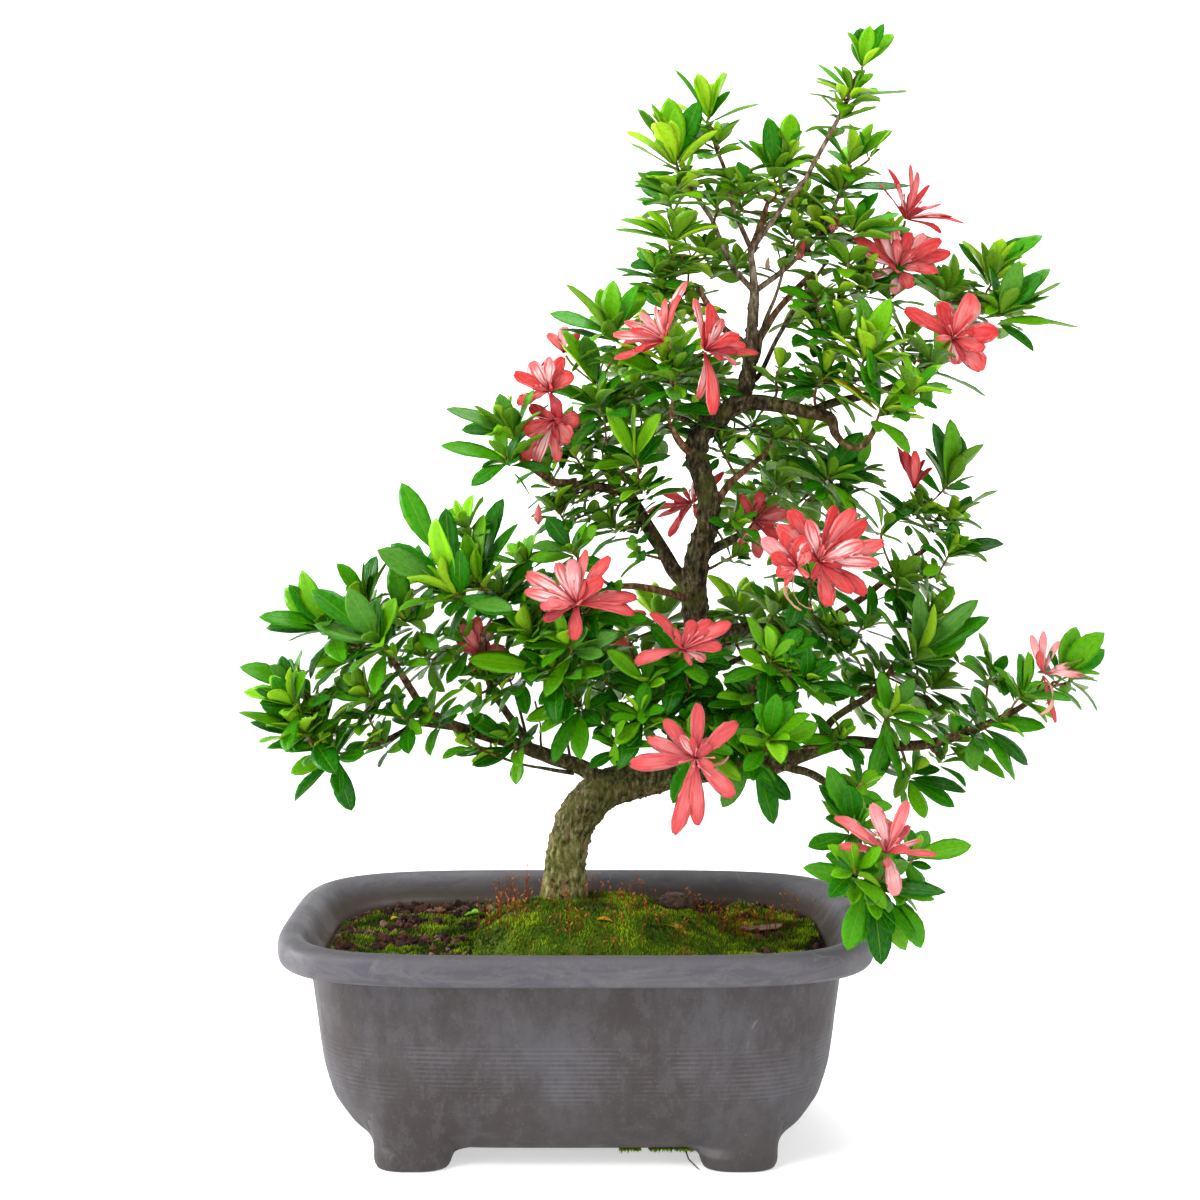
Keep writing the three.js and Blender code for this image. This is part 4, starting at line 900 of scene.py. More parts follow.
# Each spray stands for the CAD node of its name. Its stem is where its own wood leaves the branch, and
# every entry after that is a whorl: x, z, y, kind and leaf length, then a tip for each leaf that stands
# out in the front view: x, z, how far behind the whorl it ends, and age.
SPRAYS = {
    "spray_far_left": [[(-123, 196, -60)], [
        (-129, 198, -66, "small", 26, [(-148, 171), (-118, 166), (-124, 174), (-150, 186), (-163, 199),
                                       (-111, 196)]),
        (-141, 207, -72, "young", 31, [(-177, 218), (-171, 213), (-165, 222), (-124, 214)]),
        (-148, 222, -78, "young", 26, [(-168, 230), (-166, 223), (-159, 237)]),
        (-148, 232, -60, "free", 24, [(-176, 242), (-160, 243), (-154, 248), (-143, 251), (-139, 241),
                                      (-150, 246, 10)]),
        (-133, 214, -58, "young", 20, [(-130, 231), (-142, 230)]),
        (-108, 226, -62, "light", 22, [(-127, 236), (-131, 230), (-117, 241), (-104, 241), (-101, 227)]),
        (-103, 203, -52, "small", 17, [(-121, 198), (-97, 214)]),
    ]],
    "spray_left": [[(-99, 250, -58)], [
        (-103, 254, -68, "mature", 32, [(-137, 264), (-124, 244), (-138, 282), (-104, 277), (-119, 283),
                                        (-94, 278)]),
        (-130, 262, -50, "mature", 28, [(-166, 268), (-162, 262), (-152, 283), (-143, 293), (-150, 285)]),
        (-110, 276, -46, "mature", 25, [(-125, 296), (-111, 297), (-104, 300), (-98, 298)]),
        (-88, 266, -38, "light", 26, [(-95, 297), (-86, 283), (-74, 284), (-72, 251)]),
        (-94, 247, -66, "small", 18, [(-91, 238), (-84, 252)]),
        (-119, 246, -44, "small", 20, [(-139, 243), (-137, 235)]),
        (-112, 262, -20, "shade", 24),
    ]],
    "spray_left_inner": [[(-72, 214.5, -34), (-73, 217, -44)], [
        (-92, 216, -66, "small", 20, [(-88, 196), (-100, 223), (-80, 226), (-94, 229)]),
        (-76, 216, -52, "small", 19, [(-78, 196), (-86, 210), (-66, 213), (-62, 217)]),
        (-58, 255, -30, "small", 20, [(-68, 233), (-53, 247), (-70, 262)]),
        (-79, 247, -26, "mature", 25),
        (-34, 203, -26, "small", 22, [(-55, 190), (-32, 180), (-22, 205), (-44, 212), (-58, 217)]),
        (-33, 239, -30, "small", 24, [(-41, 217), (-57, 239), (-26, 217)]),
        (-52, 228, -28, "free", 24), (-57, 202, -30, "free", 24),
    ]],
    "spray_left_rise": [[(-49, 259, -40)], [
        (-63, 279, -66, "young", 33, [(-91, 338, 0, "mid"), (-73, 320, -16, "young"), (-68, 325),
                                      (-104, 303), (-97, 306), (-66, 268, -20)]),
        (-50, 285, -48, "young", 32, [(-48, 322, -10, "young"), (-38, 330), (-42, 326), (-30, 317),
                                      (-58, 312, -14, "young")]),
        (-78, 287, -38, "mature", 25, [(-95, 289), (-93, 296), (-82, 306)]),
        (-40, 280, -34, "mature", 26, [(-23, 297), (-24, 277), (-39, 270, -20), (-52, 268, -20)]),
        (-26, 296, -14, "light", 22, [(-23, 311), (-30, 308)]),
        (-60, 262, -8, "shade", 24),
        (-57, 315, -52, "light", 20),
    ]],
    "spray_bend": [[(30, 183.5, 0), (27, 198, -12)], [
        (0, 223, -46, "small", 25, [(2, 193), (-12, 191), (-20, 207), (18, 227), (-27, 214)]),
        (-4, 253, -56, "light", 26, [(-10, 262), (1, 268), (6, 262), (22, 259), (14, 248)]),
        (-12, 240, -50, "small", 28, [(-19, 248, -16, "young"), (-57, 246), (-30, 250), (3, 246),
                                      (-20, 222)]),
        (33, 217, -52, "small", 25, [(17, 214), (20, 201), (22, 188), (41, 201), (60, 210), (48, 222)]),
        (36, 233, -42, "free", 30, [(15, 251, -8, "young"), (46, 234, -18, "young"), (63, 250, -12, "dark"),
                                    (38, 251), (31, 236, -20, "young"), (46, 244, 6)]),
        (14, 236, -20, "shade", 24),
        (19, 203, -56, "free", 22),
    ]],
    "spray_centre_front": [[(65.5, 234, 4), (66, 232, -16)], [
        (64, 203, -56, "free", 26, [(50, 170), (52, 184, 4), (86, 182, -12, "young"), (82, 196)]),
        (56, 246, -44, "shade", 27, [(36, 246), (74, 238)]),
        (76, 222, -34, "shade", 25),
        (56, 224, -40, "shade", 24),
    ]],
    "spray_left_mid": [[(61, 277, 3), (53, 279, -4), (42, 282, -14), (30, 284, -24), (18, 284, -34)], [
        (-22, 257, -44, "young", 27, [(-45, 266), (-38, 271), (-12, 269), (-20, 262, -14, "young")]),
        (-3, 303, -38, "small", 22, [(-16, 320), (10, 316), (-24, 304), (-25, 298)]),
        (18, 272, -38, "small", 20, [(37, 267), (18, 287), (27, 262)]),
        (2, 272, -44, "shade", 24),
        (-22, 274, -30, "shade", 25),
    ]],
    "spray_left_upper": [[(-28, 349, -18)], [
        (-37, 351, -30, "free", 30, [(-71, 357), (-55, 336), (-24, 331), (-12, 344), (-45, 360), (-30, 362)]),
        (-33, 362, -14, "young", 26, [(-68, 376), (-54, 378), (-40, 384), (-22, 386), (-60, 365)]),
        (-9, 362, 6, "mature", 26, [(-3, 355), (11, 358), (-22, 377)]),
        (-14, 338, 18, "small", 18, [(-14, 328), (-6, 350)]),
        (-10, 323, 6, "small", 18, [(-22, 331), (4, 324), (-4, 312)]),
        (5, 343, 22, "small", 18),
        (4, 321, 10, "free", 20),
    ]],
    "spray_left_centre": [[(26, 332, 13)], [
        (30, 350, -14, "free", 30, [(15, 377, -8, "young"), (30, 378, -14, "young"), (44, 374, -8, "young"),
                                    (8, 345), (49, 352), (14, 357)]),
        (11, 377, -14, "mature", 28, [(-15, 387), (-6, 368), (15, 396), (24, 393)]),
        (4, 364, 26, "mature", 24, [(-8, 369), (16, 358)]),
        (33, 335, -2, "small", 20, [(39, 329, -12), (50, 340), (22, 320)]),
        (16, 345, 8, "small", 19),
        (18, 316, 8, "small", 20, [(8, 310), (36, 316)]),
        (31, 303, -6, "free", 18, [(32, 296), (28, 311)]),
        (42, 372, 20, "shade", 24),
        (20, 338, 12, "free", 20),
    ]],
    "spray_left_high": [[(61.5, 351, 0), (54, 358, -8), (48, 368, -16)], [
        (51, 393, -36, "mature", 32, [(18, 405), (92, 404), (86, 383), (55, 381), (33, 377), (62, 409)]),
        (44, 404, -30, "light", 26, [(36, 412, -12, "young"), (70, 409, -12, "young")]),
        (10, 388, -4, "free", 27, [(-8, 409, -6, "young"), (9, 396), (4, 414), (-8, 417)]),
        (18, 414, -16, "mature", 27, [(-14, 425), (-10, 417), (12, 438), (19, 442), (32, 440), (36, 436),
                                      (-6, 440)]),
        (30, 384, 16, "mature", 25),
        (62, 372, 4, "small", 20, [(72, 366), (50, 374)]),
    ]],
    "spray_top_left_low": [[(89.5, 404, 5), (84, 411, 1), (76, 417, -4), (69, 427, -8), (62, 439, -12)], [
        (50, 464, -20, "light", 26, [(19, 468), (22, 473), (36, 477, -10, "young"), (48, 479), (66, 473)]),
        (40, 447, -6, "small", 22, [(19, 448), (34, 458), (33, 440)]),
        (46, 446, 12, "mature", 24, [(30, 452), (40, 434)]),
        (66, 456, 4, "mature", 22, [(76, 461), (80, 452), (66, 466)]),
        (48, 482, 8, "small", 22, [(30, 483), (32, 491), (60, 478)]),
        (84, 450, 22, "small", 18, [(82, 461), (92, 448)]),
        (44, 430, -12, "free", 22), (60, 428, 0, "free", 22),
    ]],
    "spray_top_left": [[(53, 497, -16)], [
        (51, 502, -20, "young", 30, [(27, 512), (31, 529), (38, 532), (47, 535), (50, 530, -14, "young"),
                                     (63, 533), (40, 514), (33, 493)]),
        (56, 497, -10, "small", 20, [(52, 489, -18), (61, 488), (66, 499)]),
        (72, 480, 2, "small", 21, [(60, 482), (65, 493), (80, 494), (86, 475)]),
        (47, 487, -30, "small", 21, [(29, 490), (31, 497)]),
    ]],
    "spray_top_middle": [[(69, 517, -10)], [
        (68, 524, -12, "young", 26, [(50, 549), (60, 545, -6, "young"), (76, 548, -10, "young"), (79, 538),
                                     (58, 520)]),
        (72, 512, -16, "small", 22, [(84, 524), (58, 515), (58, 506), (84, 512)]),
        (86, 488, -14, "small", 20, [(93, 486), (81, 500), (95, 492)]),
    ]],
    "spray_top_centre": [[(90, 457, 2), (94, 468, 8), (98, 481, 11)], [
        (101, 496, 10, "mature", 27, [(74, 495), (82, 514), (88, 513), (118, 502), (120, 506), (98, 525)]),
        (108, 502, 14, "young", 22, [(110, 527), (116, 518), (104, 520)]),
        (113, 478, 24, "light", 23, [(104, 488), (112, 485, -8, "young"), (124, 480), (100, 470)]),
        (84, 480, 26, "small", 20),
        (112, 466, 14, "small", 20, [(100, 468), (124, 466), (108, 455)]),
        (106, 451, 18, "free", 22),
    ]],
    "spray_tip": [[(142, 543, -6)], [
        (146, 550, -6, "free", 22, [(138, 568), (145, 570), (150, 571, -4, "young"), (157, 572),
                                    (162, 567), (155, 560, -10, "young"), (141, 562, 8)]),
        (141, 537, -8, "free", 22, [(123, 552), (122, 545), (131, 551), (152, 547), (170, 538),
                                    (146, 549, -8), (134, 528, -14)]),
        (135, 526, -8, "small", 18, [(154, 530), (132, 538, -12), (125, 536)]),
    ]],
    "spray_top_right": [[(136, 489, 18), (137.5, 495, 18)], [
        (140, 502, 12, "free", 28, [(140, 522, -8, "young"), (130, 516), (152, 522), (158, 516), (162, 518),
                                    (122, 520), (128, 508), (140, 492, -20)]),
        (136, 489, 18, "small", 24, [(118, 504), (172, 490), (110, 498), (152, 484)]),
        (142, 468, 0, "mature", 29, [(112, 492), (172, 468), (155, 487), (138, 482), (166, 476)]),
        (120, 478, 36, "small", 24),
        (128, 466, 24, "small", 20, [(118, 470), (134, 476)]),
        (121, 456, 22, "free", 20),
        (150, 504, 8, "pair", 20, [(161, 519, -4, "young"), (156, 509, 4, "mid")]),
    ]],
    "spray_right_high": [[(89.5, 404, 5), (95, 414, 11), (103, 426, 15), (113, 437, 19), (122, 446, 22)], [
        (148, 440, 10, "mature", 27, [(142, 460), (176, 440), (130, 442), (150, 428), (170, 450)]),
        (160, 462, 30, "mature", 25, [(185, 462), (172, 468)]),
        (122, 428, 32, "mature", 25, [(108, 440), (134, 434), (118, 444)]),
        (124, 434, -4, "small", 22, [(104, 438), (134, 440), (122, 420)]),
        (126, 414, 0, "mature", 24, [(110, 418), (122, 402), (138, 405)]),
        (140, 452, 2, "small", 22, [(150, 449), (128, 460)]),
        (163, 434, 14, "free", 24),
    ]],
    "spray_right_top": [[(184, 399, 22)], [
        (218, 424, 22, "free", 30, [(259, 418), (236, 405), (246, 420), (244, 434), (250, 441), (240, 446),
                                    (212, 450), (228, 452), (244, 448)]),
        (213, 442, 34, "young", 27, [(196, 461), (208, 462), (214, 462, -10, "young"),
                                     (226, 462, -8, "young"), (240, 465), (230, 464)]),
        (190, 434, 26, "mature", 28, [(171, 461), (194, 456, -8, "mid"), (186, 450), (200, 448), (172, 445)]),
        (184, 398, -6, "light", 27, [(212, 382), (196, 418, -6, "young"), (174, 416, -6, "young"),
                                     (192, 404), (166, 393), (180, 377)]),
        (170, 410, 10, "mature", 25, [(156, 400), (164, 412), (162, 428)]),
        (203, 424, 44, "small", 20, [(210, 420), (196, 414)]),
    ]],
    "spray_loop": [[(155, 368, -32)], [
        (157, 376, -34, "free", 31, [(132, 391, -8, "orange"), (176, 374, -10, "orange"), (173, 353),
                                     (155, 364, -12), (150, 408), (172, 392, -12, "young"),
                                     (180, 388, -8, "young"), (146, 398)]),
        (149, 402, -32, "young", 30, [(146, 434), (162, 433), (131, 416, -10, "young"), (128, 408),
                                      (147, 424, -14, "young"), (166, 398)]),
        (136, 415, -18, "mature", 26, [(117, 415), (128, 431), (140, 428)]),
        (127, 392, -20, "mature", 25, [(102, 391), (110, 397), (140, 391), (124, 406), (128, 380)]),
        (174, 386, -46, "light", 25, [(192, 388), (186, 398)]),
        (118, 388, 8, "shade", 24),
        (105, 397, 4, "free", 22),
    ]],
    "spray_right_mid": [[(182, 304, 20)], [
        (192, 336, 16, "free", 30, [(184, 369), (193, 371, -6, "mid"), (199, 362), (211, 358), (180, 356),
                                    (200, 352, -14), (174, 344), (204, 336, 10)]),
        (176, 322, 10, "mature", 23, [(156, 334), (164, 320), (190, 322), (178, 336, -10), (172, 310)]),
        (194, 320, 12, "free", 26, [(219, 334), (210, 328)]),
        (193, 300, 6, "small", 25, [(222, 306), (204, 310), (196, 318), (180, 290)]),
        (180, 290, 26, "shade", 24),
        (168, 322, 14, "free", 22),
    ]],
    "spray_right_shade": [[(138, 271, 34)], [
        (150, 262, 2, "mature", 25, [(130, 248), (160, 268), (152, 285)]),
        (168, 286, 2, "mature", 26, [(163, 298), (156, 277), (178, 300), (180, 270), (170, 264)]),
        (124, 290, -32, "shade", 24, [(152, 265, -6), (110, 262)]),
        (104, 272, 30, "mature", 26, [(90, 286), (102, 255), (118, 262), (98, 268)]),
        (128, 262, 10, "mature", 26, [(120, 246), (140, 262)]),
        (160, 316, -8, "free", 28, [(140, 330), (170, 306), (164, 322)]),
        (143, 250, 6, "free", 24),
    ]],
    "spray_right_inner": [[(68, 318, -2), (73, 328, -2), (79, 337, 0), (88, 345, 4), (98, 353, 8)], [
        (118, 362, 14, "light", 24, [(132, 368, -6, "young"), (108, 370, -4, "young"), (128, 360),
                                     (104, 352)]),
        (131, 342, -8, "mature", 28, [(106, 352), (155, 341), (148, 364), (120, 356), (134, 356), (126, 328),
                                      (118, 334)]),
        (104, 336, 30, "mature", 24, [(80, 333), (94, 348), (118, 334)]),
        (146, 344, 6, "free", 30, [(150, 363), (138, 368), (142, 350)]),
        (75, 358, 12, "small", 18, [(54, 346), (70, 344), (84, 350), (92, 344), (66, 368), (88, 362)]),
        (92, 370, 20, "small", 20, [(76, 372), (118, 368), (98, 362), (104, 382)]),
        (64, 380, 20, "small", 20, [(60, 392), (74, 370)]),
        (84, 318, -6, "free", 20, [(80, 308), (94, 322), (76, 312)]),
        (139, 331, -2, "free", 22), (85, 301, 4, "free", 18),
    ]],
    "spray_right": [[(167, 246, 4)], [
        (176, 246, -14, "free", 33, [(156, 273), (178, 282), (186, 275, -12, "young"), (209, 277),
                                     (215, 268), (203, 257), (197, 248), (160, 254), (172, 262, -18)]),
        (182, 266, 4, "mature", 27, [(182, 290), (196, 284), (170, 276), (200, 262)]),
        (163, 217, -36, "light", 26, [(150, 214), (158, 240), (176, 236), (184, 214), (178, 206), (188, 200),
                                      (170, 182), (154, 180)]),
        (186, 232, 18, "mature", 26, [(206, 230), (200, 216), (198, 244)]),
        (160, 240, 16, "shade", 26),
        (176, 186, -24, "small", 24, [(198, 168), (204, 176), (182, 162), (190, 188), (172, 164)]),
        (146, 230, 22, "shade", 26, [(130, 238), (150, 220)]),
        (187, 214, 14, "free", 26),
    ]],
    "spray_right_end": [[(247, 231, -45)], [
        (252, 237, -50, "free", 24, [(260, 263), (268, 258), (275, 260), (275, 251), (273, 238), (238, 250),
                                     (246, 250, -10), (264, 246, -12)]),
        (233, 228, -56, "small", 20, [(258, 224), (230, 249), (235, 250), (224, 238), (240, 226, -12)]),
        (217, 238, -34, "free", 20, [(209, 260), (224, 248), (201, 246), (212, 250)]),
        (214, 212, -42, "free", 24, [(222, 194), (236, 190), (229, 182), (245, 210), (207, 232), (200, 222),
                                     (206, 188)]),
        (198, 205, -30, "small", 22, [(210, 187), (224, 183), (204, 214)]),
        (260, 238, -20, "small", 20),
        (192, 194, -32, "free", 24),
    ]],
    "spray_hanging": [[(151, 137, -107)], [
        (153, 129, -114, "free", 36, [(142, 92), (160, 84), (158, 108, -14), (173, 92), (179, 98), (194, 123),
                                      (188, 119), (132, 123), (118, 136), (166, 100, -10), (150, 96, 8)]),
        (146, 136, -124, "free", 24, [(131, 148, -6, "young"), (133, 132, -10, "young"),
                                      (144, 149, -8, "young"), (160, 146, -16, "mid"), (130, 142)]),
        (146, 158, -96, "small", 24, [(121, 147), (126, 180), (131, 190), (142, 180), (150, 168),
                                      (130, 162)]),
        (176, 143, -100, "small", 20, [(207, 148), (174, 157), (186, 136)]),
        (150, 181, -80, "free", 20, [(161, 168), (142, 188), (136, 184)]),
        (170, 124, -112, "pair", 20, [(181, 93, -4, "mid"), (178, 105, 4, "dark")]),
    ]],
    "spray_front": [[(64, 222, 3), (74, 224, -14), (86, 228, -34), (94, 232, -48)], [
        (100, 203, -76, "light", 25, [(93, 223), (104, 228), (122, 217), (88, 206), (118, 199), (126, 212),
                                      (112, 224)]),
        (92, 196, -62, "free", 30, [(103, 159), (84, 182), (76, 168), (104, 182), (112, 172)]),
        (101, 246, -58, "mature", 26, [(88, 268), (126, 256), (118, 262), (120, 240), (84, 250)]),
        (119, 234, -66, "mature", 25, [(136, 244), (134, 222), (120, 252), (102, 230), (148, 226),
                                       (106, 218)]),
        (92, 224, -50, "shade", 26, [(80, 212), (76, 234)]),
        (80, 206, -44, "shade", 26),
        (138, 205, -50, "small", 20, [(150, 190), (126, 196)]),
    ]],
    "spray_back_low": [[(30, 246, 92)], [
        (16, 253, 104, "mature", 29), (42, 266, 106, "young", 27), (6, 238, 86, "mature", 27),
        (-12, 260, 66, "mature", 28), (22, 228, 78, "small", 24), (48, 246, 116, "mature", 26),
    ]],
    "spray_back_low_right": [[(92, 250, 98)], [
        (106, 258, 108, "mature", 29), (84, 272, 108, "young", 27), (116, 240, 88, "mature", 27),
        (98, 232, 76, "small", 25), (124, 262, 72, "mature", 26), (70, 252, 112, "light", 25),
    ]],
    "spray_back_mid": [[(112, 326, 90)], [
        (124, 336, 98, "mature", 29), (98, 348, 96, "young", 27), (134, 318, 78, "mature", 27),
        (116, 306, 84, "small", 24), (112, 356, 80, "light", 25), (90, 326, 98, "mature", 27),
    ]],
    "spray_back_high": [[(65, 364, 2), (58, 369, 22), (46, 376, 44)], [
        (28, 392, 70, "mature", 28), (52, 400, 76, "young", 27), (14, 376, 58, "mature", 27),
        (62, 384, 74, "mature", 26), (36, 410, 52, "light", 26), (72, 396, 52, "mature", 25),
        (40, 366, 66, "small", 24),
    ]],
}
CARRIED = {
    "trunk": ["spray_bend", "spray_centre_front", "spray_left_mid", "spray_left_high", "spray_top_left_low",
              "spray_right_high", "spray_right_inner", "spray_front", "spray_back_high"],
    "branch_left_low": ["spray_far_left", "spray_left", "spray_left_inner", "spray_left_rise"],
    "branch_left_upper": ["spray_left_upper", "spray_left_centre"],
    "branch_right_low": ["spray_right", "spray_right_end", "spray_hanging"],
    "branch_right_mid": ["spray_right_mid", "spray_right_shade"],
    "branch_right_upper": ["spray_right_top", "spray_loop"],
    "branch_top": ["spray_top_left", "spray_top_middle", "spray_top_centre", "spray_tip",
                   "spray_top_right"],
    "branch_back_low": ["spray_back_low", "spray_back_low_right"],
    "branch_back_mid": ["spray_back_mid"],
}

# ---------------------------------------------------------------------------
# Lists: flowers
# ---------------------------------------------------------------------------

